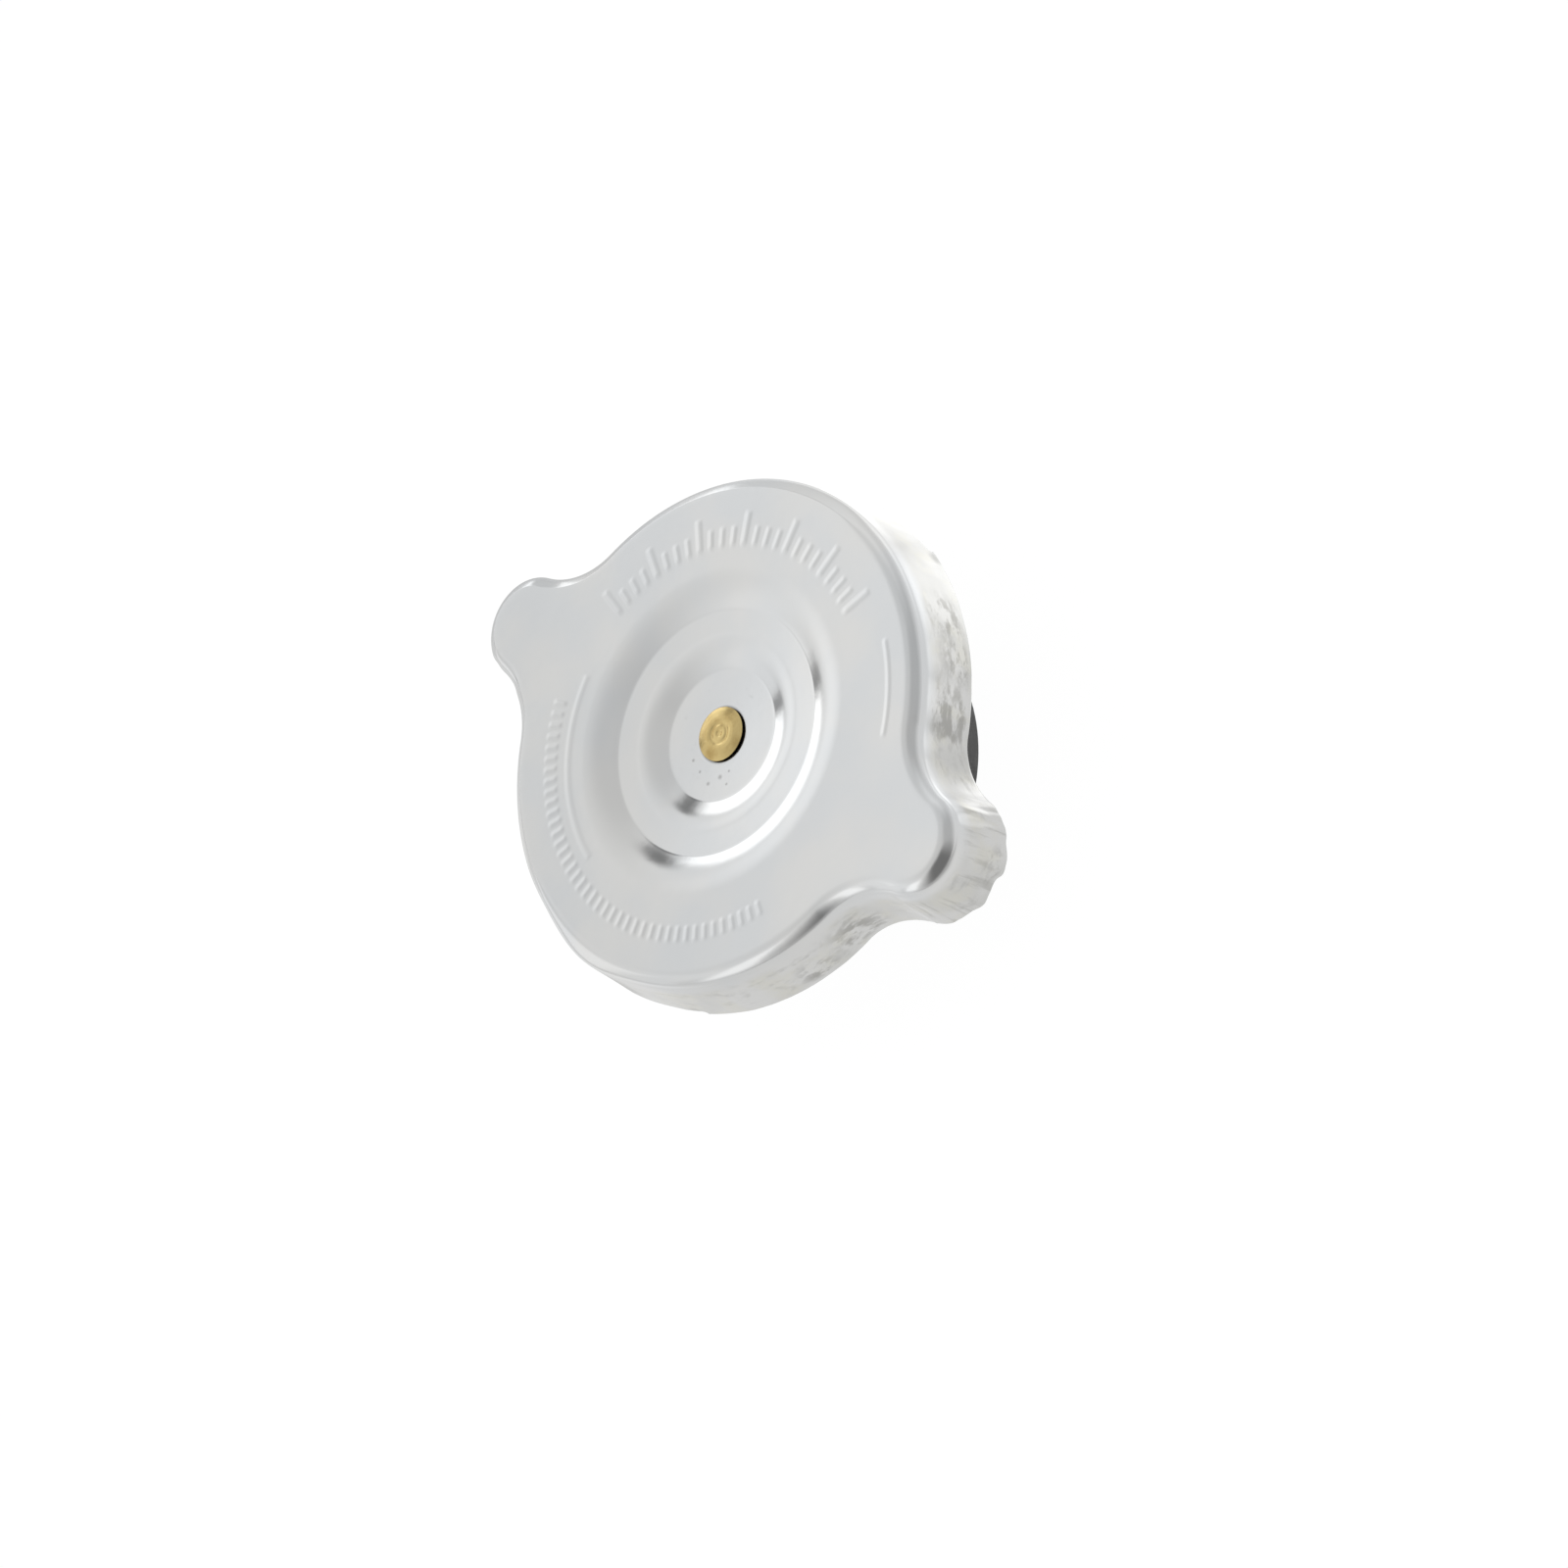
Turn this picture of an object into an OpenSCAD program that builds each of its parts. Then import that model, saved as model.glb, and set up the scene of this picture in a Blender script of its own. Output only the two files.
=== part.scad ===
// Pressure cap of a coolant expansion tank, with two finger ears and a spring-loaded valve below.
// Lengths are in millimetres. +Z points out of the face and the ears lie along X.
// The cap stands face up on the underside of its pressure valve, which is Z = 0.

/* [Cover] */
// Radius of the round body, outside the skirt
body_r = 31.5; // [31:0.5:34]
// Distance from the middle of the cap to the tip of an ear
ear_reach = 42.3; // [41:0.1:44]
// Radius of the rounded end of an ear
ear_r = 6.6; // [5.5:0.1:7.5]
// Radius of the hollow where an ear runs into the body
neck_r = 11; // [8:0.5:13]
// Thickness of the pressed sheet
sheet_t = 0.9; // [0.7:0.1:1.1]
// Radius of the rounded edge between face and skirt
edge_r = 2; // [1.5:0.1:2.4]
// Depth of the skirt below the face
skirt_h = 10; // [9.5:0.1:11]
// How far the lower edge of the skirt spreads outward between the ears and along their sides
skirt_flare = 1.2; // [0.6:0.1:1.6]
// Angle that each inturned locking tab spans
tab_span = 36; // [24:2:44]
// How far a locking tab reaches inward from the upright part of the skirt
tab_reach = 3.3; // [2.4:0.1:4]

/* [Pressed steps of the face] */
// Radius where the outer step starts down
outer_step_r = 17.6; // [17:0.1:18.2]
// Radial width of the outer step's slope
outer_step_w = 2.6; // [2:0.1:3.4]
// Height of the outer step
outer_step_h = 1.1; // [0.9:0.05:1.3]
// Radius where the inner step starts down
inner_step_r = 11; // [10.5:0.1:12]
// Radial width of the inner step's slope
inner_step_w = 3; // [2.4:0.1:3.6]
// Height of the inner step
inner_step_h = 1.35; // [1.1:0.05:1.5]

/* [Rivet] */
// Radius of the peened head on the face
head_r = 3.4; // [3.2:0.1:4]
// Height of the peened head
head_h = 0.55; // [0.45:0.05:0.9]
// Radius of the shank that holds the cover
shank_r = 2.4; // [2:0.1:2.6]
// Radius of the shoulder that the valve cage turns on
shoulder_r = 3.5; // [3.2:0.1:4]
// Radius of the head that carries the valve cage
foot_r = 5.5; // [5:0.1:7]
// Thickness of the head that carries the valve cage
foot_h = 1.2; // [1:0.1:1.6]

/* [Seal on the neck] */
// Thickness of the rubber ring where the neck presses on it
gasket_t = 2.9; // [2.6:0.1:3.2]
// Thickness of its inner margin, which the spring disc holds
gasket_margin_t = 2.2; // [2:0.05:2.3]
// Width of the rubber ring's margin that lies on the spring disc
disc_hold = 2.6; // [2:0.1:3]
// Thickness of the spring disc
disc_t = 0.4; // [0.3:0.05:0.5]
// Radius of the washer that the valve cage turns against
washer_r = 8; // [7:0.5:10]
// Thickness of that washer
washer_t = 0.5; // [0.4:0.1:0.8]

/* [Valve cage] */
// Sheet thickness of the cage
cage_t = 0.8; // [0.6:0.1:1]
// Radius of the cage's upper edge
cage_edge_r = 2; // [1.5:0.1:2.5]
// Number of windows in the cage
window_count = 4; // [3:1:6]
// Radius of a window
window_r = 4; // [3:0.25:4]

/* [Pressure valve] */
// Depth of the valve's lowest face below the face of the cap
valve_reach = 26.4; // [26:0.1:29]
// Lift of the valve from rest to fully open
valve_lift = 3; // [2:0.25:3.5]
// Radius of the rubber seal
seal_r = 20.5; // [20:0.1:21]
// Thickness of the rubber seal where it is clamped
seal_t = 2.8; // [2.6:0.1:3.2]
// Height of the bead that meets the seat
bead_h = 0.35; // [0.2:0.05:0.5]
// How far the backing plate above the seal stays inside the seal's edge
backing_inset = 1.1; // [0.6:0.1:2]
// Sheet thickness of backing plate and valve cup
plate_t = 0.8; // [0.6:0.1:1]
// Radius of the dished retainer below the seal
retainer_r = 16.5; // [15:0.1:17]
// Sheet thickness of the retainer
retainer_t = 0.7; // [0.5:0.1:0.8]
// Outer radius of the valve cup's wall
cup_r = 13.2; // [12.8:0.1:13.3]
// How far the valve cup's flange stands out from its wall
flange_w = 2.6; // [2.4:0.1:3.2]
// Outer radius of the ferrule that clamps the stack
ferrule_r = 4; // [3.6:0.1:4.2]
// Bore radius of the ferrule
ferrule_bore_r = 3; // [2.6:0.1:3.2]
// Radius of the ferrule's rolled ends
ferrule_lip_r = 5.2; // [4.8:0.1:5.4]
// Thickness of the ferrule's rolled ends
ferrule_lip_t = 0.4; // [0.3:0.1:0.5]

/* [Pressure spring] */
// Wire diameter
spring_wire = 1.8; // [1.4:0.1:2]
// How far the coil stands inside the edge of the valve cup's flange
spring_inset = 0.5; // [0.3:0.05:0.6]
// Number of turns
spring_turns = 3.5; // [2.5:0.25:3.5]

/* [Vacuum valve] */
// Drop of the valve from rest to fully open
vacuum_drop = 1; // [0.6:0.1:1]
// Radius of the disc
vacuum_r = 8; // [7.6:0.1:8.2]
// Thickness of the disc
vacuum_t = 0.6; // [0.5:0.05:0.7]
// Thickness of the rubber ring on the disc
vacuum_seal_t = 0.65; // [0.5:0.05:0.7]
// Radius of the stem
stem_r = 1.2; // [1:0.1:1.5]
// Radius of the stem's peened ends
stem_head_r = 2; // [1.8:0.1:2.4]
// Height of the stem's peened ends
stem_head_h = 0.4; // [0.3:0.05:0.4]
// Radius of the guide plate on the ferrule
guide_r = 4.8; // [4.4:0.1:5.2]
// Thickness of the guide plate
guide_t = 0.6; // [0.5:0.1:1]
// Number of vent holes in the guide plate
vent_count = 3; // [3:1:4]
// Radius of a vent hole
vent_r = 0.6; // [0.4:0.05:0.6]
// Radius of the washer that keeps the vacuum spring
keeper_r = 3.8; // [3.4:0.1:4.4]
// Thickness of that washer
keeper_t = 0.6; // [0.5:0.1:1]

/* [Vacuum spring] */
// Wire diameter
vacuum_wire = 0.6; // [0.4:0.05:0.6]
// Radius of the coil, to the middle of the wire
vacuum_coil_r = 2.9; // [2.6:0.1:3.2]
// Height of the spring with the valve fully open
vacuum_open_h = 5; // [4.8:0.1:6]
// Number of turns
vacuum_turns = 4; // [3:0.25:4]

/* [Clearances] */
// Gap on each side of pieces that turn or slide on each other
running_gap = 0.05; // [0.03:0.01:0.08]
// Room left beyond the end of a travel
travel_gap = 0.3; // [0.2:0.05:0.4]
// Room between the rubber ring on the neck and the skirt
gasket_gap = 1.3; // [1:0.1:2.4]
// Room between the rubber ring on the neck and the outer step
step_gap = 1; // [0.5:0.1:1.5]
// Room between the valve cup and the cage, around the wall and around the flange
cage_gap = 0.4; // [0.3:0.05:0.6]
// Room between the vacuum valve's disc and the wall of its recess
recess_gap = 0.7; // [0.5:0.1:1]
// Room between the vacuum valve's rubber ring and the rolled end of the ferrule
ferrule_gap = 0.4; // [0.3:0.1:0.6]

/* [Hidden] */
$fn = 96;

// Radii of the pieces under the cover, each from the piece that it fits
gasket_r = body_r - sheet_t - gasket_gap;
gasket_bore_r = outer_step_r + step_gap;
disc_r = gasket_bore_r + disc_hold;
lip_bore_r = cup_r + cage_gap;
flange_r = cup_r + flange_w;
cage_inner_r = flange_r + cage_gap;
cage_r = cage_inner_r + cage_t;
spring_r = flange_r - spring_inset - spring_wire / 2;
backing_r = seal_r - backing_inset;
recess_r = vacuum_r + recess_gap;

// Heights of the cover, from the face down
face_z = valve_reach;
ledge_z = face_z - outer_step_h;
hub_z = ledge_z - inner_step_h;
hub_under_z = hub_z - sheet_t;
skirt_top_z = face_z - edge_r;
skirt_z = face_z - skirt_h;

// Heights of the pieces under the cover
gasket_z = face_z - sheet_t - gasket_t;
margin_z = face_z - sheet_t - gasket_margin_t;
disc_z = hub_under_z - disc_t;
washer_z = disc_z - washer_t;
cage_top_z = washer_z - running_gap;
cage_ceiling_z = cage_top_z - cage_t;
foot_z = cage_ceiling_z - running_gap - foot_h;

// Heights of the pressure valve, from its lowest face up
seal_z = retainer_t;
backing_z = seal_z + seal_t;
backing_top_z = backing_z + plate_t;
cup_floor_z = backing_top_z + plate_t;
lip_z = backing_top_z + valve_lift + travel_gap;
lip_top_z = lip_z + cage_t;
flange_z = lip_top_z + running_gap;
flange_top_z = flange_z + plate_t;

// Heights of the vacuum valve
retainer_ceiling_z = backing_z - retainer_t;
vacuum_seal_z = retainer_ceiling_z - running_gap - vacuum_seal_t;
vacuum_disc_z = vacuum_seal_z - vacuum_t;
ferrule_top_z = cup_floor_z + ferrule_lip_t;
guide_top_z = ferrule_top_z + guide_t;
vacuum_coil_h = vacuum_open_h + vacuum_drop;
keeper_z = guide_top_z + vacuum_coil_h;
keeper_top_z = keeper_z + keeper_t;

// The ear's outline: its end circle, and the hollow circle that touches it and the body
ear_x = ear_reach - ear_r;
hollow_reach = body_r + neck_r;
hollow_x = (hollow_reach^2 + ear_x^2 - (ear_r + neck_r)^2) / (2 * ear_x);
hollow_y = sqrt(hollow_reach^2 - hollow_x^2);
hollow_angle = atan2(hollow_y, hollow_x);
ear_angle = atan2(hollow_y, hollow_x - ear_x);

// Segments of each stretch of the outline
ear_steps = 16;
hollow_steps = 8;
body_steps = 32;

// Radius of the sheet ring where the pressed middle joins the eared rim, and their overlap
web_r = 23;
web_overlap = 1;

// Straight stretches that a rounded slope, the outer and the inner rounded edge are made of
step_rise_steps = 6;
edge_steps = 5;
inner_edge_steps = 3;

// Small corner radius of the pressed and moulded pieces
small_corner = 0.3;

// Sides and rings a turn of a spring's wire, and the part of a turn that lies flat at each end
wire_ring_sides = 6;
wire_rings = 8;
seat_turn = 0.25;

// Room between the spring disc and the thick part of the rubber ring, and between retainer and bead
disc_margin = 0.2;
bead_margin = 0.4;

// The ring struck into the rivet's head
mark_r = 1.3;
mark_w = 0.35;
mark_depth = 0.15;

function arc(centre, r, from, to, steps) = [
    for (i = [0 : steps - 1])
        let (a = from + (to - from) * i / steps)
        centre + r * [cos(a), sin(a)]
];

// Half of the cap's outline from the right ear to the left, moved inward by inset
function half_outline(inset) = concat(
    arc([ear_x, 0], ear_r - inset, -ear_angle, ear_angle, ear_steps),
    arc([hollow_x, hollow_y], neck_r + inset, 180 + ear_angle, 180 + hollow_angle, hollow_steps),
    arc([0, 0], body_r - inset, hollow_angle, 180 - hollow_angle, body_steps),
    arc([-hollow_x, hollow_y], neck_r + inset, -hollow_angle, -ear_angle, hollow_steps)
);

function outline(inset) = let (half = half_outline(inset)) concat(half, -half);

// Share of the skirt's height that lies above z: 0 at its top and 1 at its lower edge
function drop(z) = max(0, (skirt_top_z - z) / (skirt_top_z - skirt_z));

// How far the skirt has spread outward at a height, where it faces along n
function spread(n, z) = skirt_flare * n.y^2 * drop(z);

// One ring of the rim's surface: the outline at a height, or a circle in the same directions
function rim_ring(inset, z) =
    let (edge = outline(inset), away = edge - outline(inset + 1))
    [for (i = [0 : len(edge) - 1]) let (q = edge[i] + away[i] * spread(away[i], z)) [q.x, q.y, z]];
function web_ring(r, z) = [for (p = outline(0)) [r * p.x / norm(p), r * p.y / norm(p), z]];

// Triangles between rings of equal length; wrap joins the last ring to the first
function band_faces(rings, count, wrap) = [
    for (k = [0 : rings - (wrap ? 1 : 2)], i = [0 : count - 1])
        let (a = k * count + i, b = k * count + (i + 1) % count)
        let (c = (k + 1) % rings * count + i, d = (k + 1) % rings * count + (i + 1) % count)
        each [[a, b, d], [a, d, c]]
];

// Points of a corner of a profile, rounded with radius f between the neighbours a and b
function rounded_corner(p, a, b, f, steps = 4) =
    let (u = (a - p) / norm(a - p), v = (b - p) / norm(b - p), half = acos(u * v) / 2)
    let (centre = p + (u + v) / norm(u + v) * f / sin(half), start = p + u * f / tan(half) - centre)
    let (from = atan2(start.y, start.x), turn = (180 - 2 * half) * sign(u.x * v.y - u.y * v.x))
    [for (i = [0 : steps]) centre + f * [cos(from - turn * i / steps), sin(from - turn * i / steps)]];

// A closed profile from corners written as [radius, height, corner radius]
function profile(corners) = [
    for (i = [0 : len(corners) - 1])
        let (c = corners[i])
        let (a = corners[(i + len(corners) - 1) % len(corners)], b = corners[(i + 1) % len(corners)])
        each c.z > 0 ? rounded_corner([c.x, c.y], [a.x, a.y], [b.x, b.y], c.z) : [[c.x, c.y]]
];

// The slope of a pressed step, from its foot to its shoulder
function step_slope(shoulder_r, width, foot_z, height) = [
    for (i = [0 : step_rise_steps])
        let (share = i / step_rise_steps)
        [shoulder_r - width * (1 - share), foot_z + height * (1 - cos(180 * share)) / 2]
];

// The height of a compression spring's wire after some turns, with its ends lying on their seats
function coil_rise(turn, turns, rise) =
    rise * min(max((turn - seat_turn) / (turns - 2 * seat_turn), 0), 1);

function coil_centres(r, wire, turns, height) = [
    for (i = [0 : turns * wire_rings])
        let (turn = i / wire_rings)
        [r * cos(360 * turn), r * sin(360 * turn), wire / 2 + coil_rise(turn, turns, height - wire)]
];

// The least gap of a coil to itself, between points at least most of a turn apart
function least_gap(centres, wire) = min([
    for (i = [0 : len(centres) - 1], j = [i + wire_rings - 2 : 1 : len(centres) - 1])
        norm(centres[j] - centres[i])
]) - wire;

module turned(corners) {
    rotate_extrude()
        polygon(profile(corners));
}

module ring(inner_r, outer_r, from_z, to_z) {
    rotate_extrude()
        translate([inner_r, from_z])
            square([outer_r - inner_r, to_z - from_z]);
}

// A compression spring with an open tube of wire, standing on z
module coil(r, wire, turns, z, height) {
    centres = coil_centres(r, wire, turns, height);
    points = [
        for (i = [0 : len(centres) - 1], s = [0 : wire_ring_sides - 1])
            let (angle = 360 * i / wire_rings, side = 360 * s / wire_ring_sides)
            centres[i] + wire / 2 * [cos(side) * cos(angle), cos(side) * sin(angle), sin(side)]
    ];
    last = len(points) - wire_ring_sides;
    echo(least_gap_of_coil = least_gap(centres, wire), turns = turns);
    translate([0, 0, z])
        polyhedron(points, concat(
            band_faces(len(centres), wire_ring_sides, false),
            [for (s = [1 : wire_ring_sides - 2]) [0, s + 1, s]],
            [for (s = [1 : wire_ring_sides - 2]) [last, last + s, last + s + 1]]
        ));
}

// The eared rim: flat margin, rounded edge and skirt, as one closed sheet
module rim() {
    inner_edge_r = edge_r - sheet_t;
    rings = concat(
        [web_ring(web_r, face_z)],
        [for (i = [0 : edge_steps]) let (a = 90 * i / edge_steps)
            rim_ring(edge_r * (1 - sin(a)), face_z - edge_r * (1 - cos(a)))],
        [rim_ring(0, skirt_z), rim_ring(sheet_t, skirt_z)],
        [for (i = [inner_edge_steps : -1 : 0]) let (a = 90 * i / inner_edge_steps)
            rim_ring(edge_r - inner_edge_r * sin(a), face_z - edge_r + inner_edge_r * cos(a))],
        [web_ring(web_r, face_z - sheet_t)]
    );
    count = len(rings[0]);
    polyhedron([for (r = rings) each r], band_faces(len(rings), count, true));
}

// The middle of the face, pressed down in two steps
module pressed_middle() {
    slopes = concat(
        [[shank_r, hub_z]],
        step_slope(inner_step_r, inner_step_w, hub_z, inner_step_h),
        step_slope(outer_step_r, outer_step_w, ledge_z, outer_step_h),
        [[web_r + web_overlap, face_z]]
    );
    rotate_extrude()
        polygon(concat(slopes, [for (i = [len(slopes) - 1 : -1 : 0]) slopes[i] - [0, sheet_t]]));
}

// One inturned tab, whose root ends inside the spread wall of the skirt
module locking_tab() {
    root_r = body_r - sheet_t / 2
        + spread([sin(tab_span / 4), cos(tab_span / 4)], skirt_z + sheet_t / 2);
    tip_r = body_r - sheet_t - tab_reach;
    rotate([0, 0, -tab_span / 2])
        rotate_extrude(angle = tab_span)
            translate([tip_r, skirt_z])
                square([root_r - tip_r, sheet_t]);
}

module cap_shell() {
    color("gainsboro") union() {
        rim();
        pressed_middle();
        for (side = [90, 270])
            rotate([0, 0, side])
                locking_tab();
    }
}

module center_rivet() {
    color("goldenrod") rotate_extrude()
        polygon(profile([
            [0, foot_z, 0],
            [foot_r, foot_z, small_corner],
            [foot_r, foot_z + foot_h, 0],
            [shoulder_r, foot_z + foot_h, 0],
            [shoulder_r, washer_z, 0],
            [shank_r, washer_z, 0],
            [shank_r, hub_z, 0],
            [head_r, hub_z, 0],
            [head_r, hub_z + head_h, small_corner],
            [mark_r, hub_z + head_h, 0],
            [mark_r, hub_z + head_h - mark_depth, 0],
            [mark_r - mark_w, hub_z + head_h - mark_depth, 0],
            [mark_r - mark_w, hub_z + head_h, 0],
            [0, hub_z + head_h, 0]
        ]));
}

module neck_gasket() {
    color("dimgray") turned([
        [gasket_bore_r, margin_z, 0],
        [disc_r + disc_margin, margin_z, 0],
        [disc_r + disc_margin, gasket_z, 0],
        [gasket_r, gasket_z, small_corner],
        [gasket_r, face_z - sheet_t, 0],
        [gasket_bore_r, face_z - sheet_t, 0]
    ]);
}

// Flat where the rivet clamps it, then a shallow cone up to the rubber's margin
module spring_disc() {
    clamp_r = inner_step_r - inner_step_w;
    color("silver") rotate_extrude()
        polygon([
            [shank_r, disc_z],
            [clamp_r, disc_z],
            [disc_r, margin_z - disc_t],
            [disc_r, margin_z],
            [clamp_r, hub_under_z],
            [shank_r, hub_under_z]
        ]);
}

module swivel_washer() {
    color("goldenrod") ring(shank_r, washer_r, washer_z, disc_z);
}

module valve_cage() {
    window_z = (lip_top_z + cage_ceiling_z) / 2;
    color("lightgray") difference() {
        turned([
            [shoulder_r + running_gap, cage_ceiling_z, 0],
            [cage_inner_r, cage_ceiling_z, cage_edge_r - cage_t],
            [cage_inner_r, lip_top_z, small_corner],
            [lip_bore_r, lip_top_z, 0],
            [lip_bore_r, lip_z, small_corner],
            [cage_r, lip_z, small_corner + cage_t],
            [cage_r, cage_top_z, cage_edge_r],
            [shoulder_r + running_gap, cage_top_z, 0]
        ]);
        for (i = [0 : window_count - 1])
            rotate([0, 0, 360 * i / window_count])
                translate([0, 0, window_z])
                    rotate([0, 90, 0])
                        cylinder(r = window_r, h = cage_r + cage_t);
    }
}

module pressure_spring() {
    color("darkgray")
        coil(spring_r, spring_wire, spring_turns, flange_top_z + running_gap,
            cage_ceiling_z - flange_top_z - 2 * running_gap);
}

module valve_cup() {
    inner_r = cup_r - plate_t;
    color("lightgray") turned([
        [ferrule_r, backing_top_z, 0],
        [cup_r, backing_top_z, small_corner],
        [cup_r, flange_z, small_corner],
        [flange_r, flange_z, 0],
        [flange_r, flange_top_z, small_corner],
        [inner_r, flange_top_z, small_corner],
        [inner_r, cup_floor_z, small_corner],
        [ferrule_r, cup_floor_z, 0]
    ]);
}

module backing_plate() {
    color("lightgray") ring(ferrule_r, backing_r, backing_z, backing_top_z);
}

// Flat rubber ring with a bead, set out from the retainer's edge, that meets the seat
module pressure_seal() {
    bead_r = retainer_r + bead_margin;
    color("#222222") turned([
        [recess_r + retainer_t, seal_z, 0],
        [bead_r, seal_z, 0],
        [bead_r, seal_z - bead_h, 0],
        [seal_r, seal_z - bead_h, small_corner],
        [seal_r, backing_z, small_corner],
        [recess_r + retainer_t, backing_z, 0]
    ]);
}

module seal_retainer() {
    color("lightgray") turned([
        [ferrule_r, retainer_ceiling_z, 0],
        [recess_r, retainer_ceiling_z, small_corner],
        [recess_r, 0, small_corner],
        [retainer_r, 0, small_corner],
        [retainer_r, seal_z, 0],
        [recess_r + retainer_t, seal_z, 0],
        [recess_r + retainer_t, backing_z, small_corner],
        [ferrule_r, backing_z, 0]
    ]);
}

module valve_ferrule() {
    color("goldenrod") union() {
        ring(ferrule_bore_r, ferrule_r, retainer_ceiling_z - ferrule_lip_t, ferrule_top_z);
        ring(ferrule_bore_r, ferrule_lip_r, retainer_ceiling_z - ferrule_lip_t, retainer_ceiling_z);
        ring(ferrule_bore_r, ferrule_lip_r, cup_floor_z, ferrule_top_z);
    }
}

module stem_guide() {
    vent_circle_r = (stem_r + running_gap + ferrule_bore_r) / 2;
    color("goldenrod") difference() {
        ring(stem_r + running_gap, guide_r, ferrule_top_z, guide_top_z);
        for (i = [0 : vent_count - 1])
            rotate([0, 0, 360 * i / vent_count])
                translate([vent_circle_r, 0, ferrule_top_z - guide_t])
                    cylinder(r = vent_r, h = 3 * guide_t);
    }
}

module vacuum_spring() {
    color("darkgray")
        coil(vacuum_coil_r, vacuum_wire, vacuum_turns, guide_top_z, vacuum_coil_h - running_gap);
}

module vacuum_disc() {
    color("goldenrod") ring(stem_r, vacuum_r, vacuum_disc_z, vacuum_seal_z);
}

module vacuum_seal() {
    color("#222222")
        ring(ferrule_lip_r + ferrule_gap, vacuum_r - small_corner,
            vacuum_seal_z, vacuum_seal_z + vacuum_seal_t);
}

module vacuum_stem() {
    color("goldenrod") turned([
        [0, vacuum_disc_z - stem_head_h, 0],
        [stem_head_r, vacuum_disc_z - stem_head_h, stem_head_h / 2],
        [stem_head_r, vacuum_disc_z, 0],
        [stem_r, vacuum_disc_z, 0],
        [stem_r, keeper_top_z, 0],
        [stem_head_r, keeper_top_z, 0],
        [stem_head_r, keeper_top_z + stem_head_h, stem_head_h / 2],
        [0, keeper_top_z + stem_head_h, 0]
    ]);
}

module spring_keeper() {
    color("goldenrod") ring(stem_r, keeper_r, keeper_z, keeper_top_z);
}

cap_shell();
center_rivet();
neck_gasket();
spring_disc();
swivel_washer();
valve_cage();
pressure_spring();
valve_cup();
backing_plate();
pressure_seal();
seal_retainer();
valve_ferrule();
stem_guide();
vacuum_spring();
vacuum_disc();
vacuum_seal();
vacuum_stem();
spring_keeper();
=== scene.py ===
import math

import bmesh
import bpy
import numpy as np
from mathutils import Matrix, Vector, noise


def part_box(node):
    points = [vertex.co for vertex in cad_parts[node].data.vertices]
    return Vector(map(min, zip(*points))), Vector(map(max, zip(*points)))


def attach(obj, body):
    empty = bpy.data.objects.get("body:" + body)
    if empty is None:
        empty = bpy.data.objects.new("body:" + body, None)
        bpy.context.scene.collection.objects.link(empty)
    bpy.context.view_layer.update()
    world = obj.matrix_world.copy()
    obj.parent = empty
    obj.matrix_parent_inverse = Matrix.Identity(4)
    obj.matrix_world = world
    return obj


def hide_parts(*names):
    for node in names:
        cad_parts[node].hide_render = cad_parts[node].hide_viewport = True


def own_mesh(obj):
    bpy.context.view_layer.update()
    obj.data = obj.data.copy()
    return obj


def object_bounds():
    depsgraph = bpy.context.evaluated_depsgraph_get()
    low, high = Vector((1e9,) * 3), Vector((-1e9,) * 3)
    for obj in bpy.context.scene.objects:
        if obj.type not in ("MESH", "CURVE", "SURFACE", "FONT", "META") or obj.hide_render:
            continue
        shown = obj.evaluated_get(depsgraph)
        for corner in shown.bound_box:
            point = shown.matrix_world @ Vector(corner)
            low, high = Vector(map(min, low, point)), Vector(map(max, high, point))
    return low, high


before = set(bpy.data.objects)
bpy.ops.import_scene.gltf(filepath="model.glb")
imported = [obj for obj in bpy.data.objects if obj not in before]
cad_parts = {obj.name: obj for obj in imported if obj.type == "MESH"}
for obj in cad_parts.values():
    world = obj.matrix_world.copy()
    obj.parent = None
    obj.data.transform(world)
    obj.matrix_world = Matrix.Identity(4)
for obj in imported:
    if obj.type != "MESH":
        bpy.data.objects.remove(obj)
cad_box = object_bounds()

MM = 0.001

# Sizes of the cover, in millimetres, from the axis or down from the face. EDGE_R and EDGE_H are the width and
# height of the rounded edge. Where it is sharper, it starts EDGE_FIRST_AT further out with a tight bend.
BODY_R = 31.5
EAR_REACH = 42.3
EAR_R = 6.6
NECK_R = 11.0
SHEET_T = 0.9
EDGE_R = 2.0
EDGE_H = 2.2
EDGE_FIRST_AT = 0.5
EDGE_FIRST_R = 0.14
EDGE_FIRST_TURN = 31.0
SKIRT_H = 10.0
SKIRT_FLARE = 1.2
LIP_R = 0.25
TAB_SPAN = 36.0
TAB_REACH = 3.3
TAB_BEND = 1.2
TAB_END = 2.0
TAB_EASE = 1.2
TAB_TIP_R = 0.3
OUTER_STEP = {"shoulder_r": 17.6, "width": 2.6, "height": 1.1}
INNER_STEP = {"shoulder_r": 11.0, "width": 3.0, "height": 1.35}
WEB_R = 23.0

# The face side of the steps: a sharp foot, a short steep part and a wide soft shoulder. The ledge between
# them and the flat round the rivet fall slightly inward.
OUTER_FACE = {"foot_r": 15.0, "width": 5.2, "height": 1.1, "steepest": 0.42, "foot": 0.5}
INNER_FACE = {"foot_r": 8.0, "width": 4.4, "height": 1.05, "steepest": 0.375, "foot": 0.4}
HUB_FALL = 0.15
SEAT_R = 3.7

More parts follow.
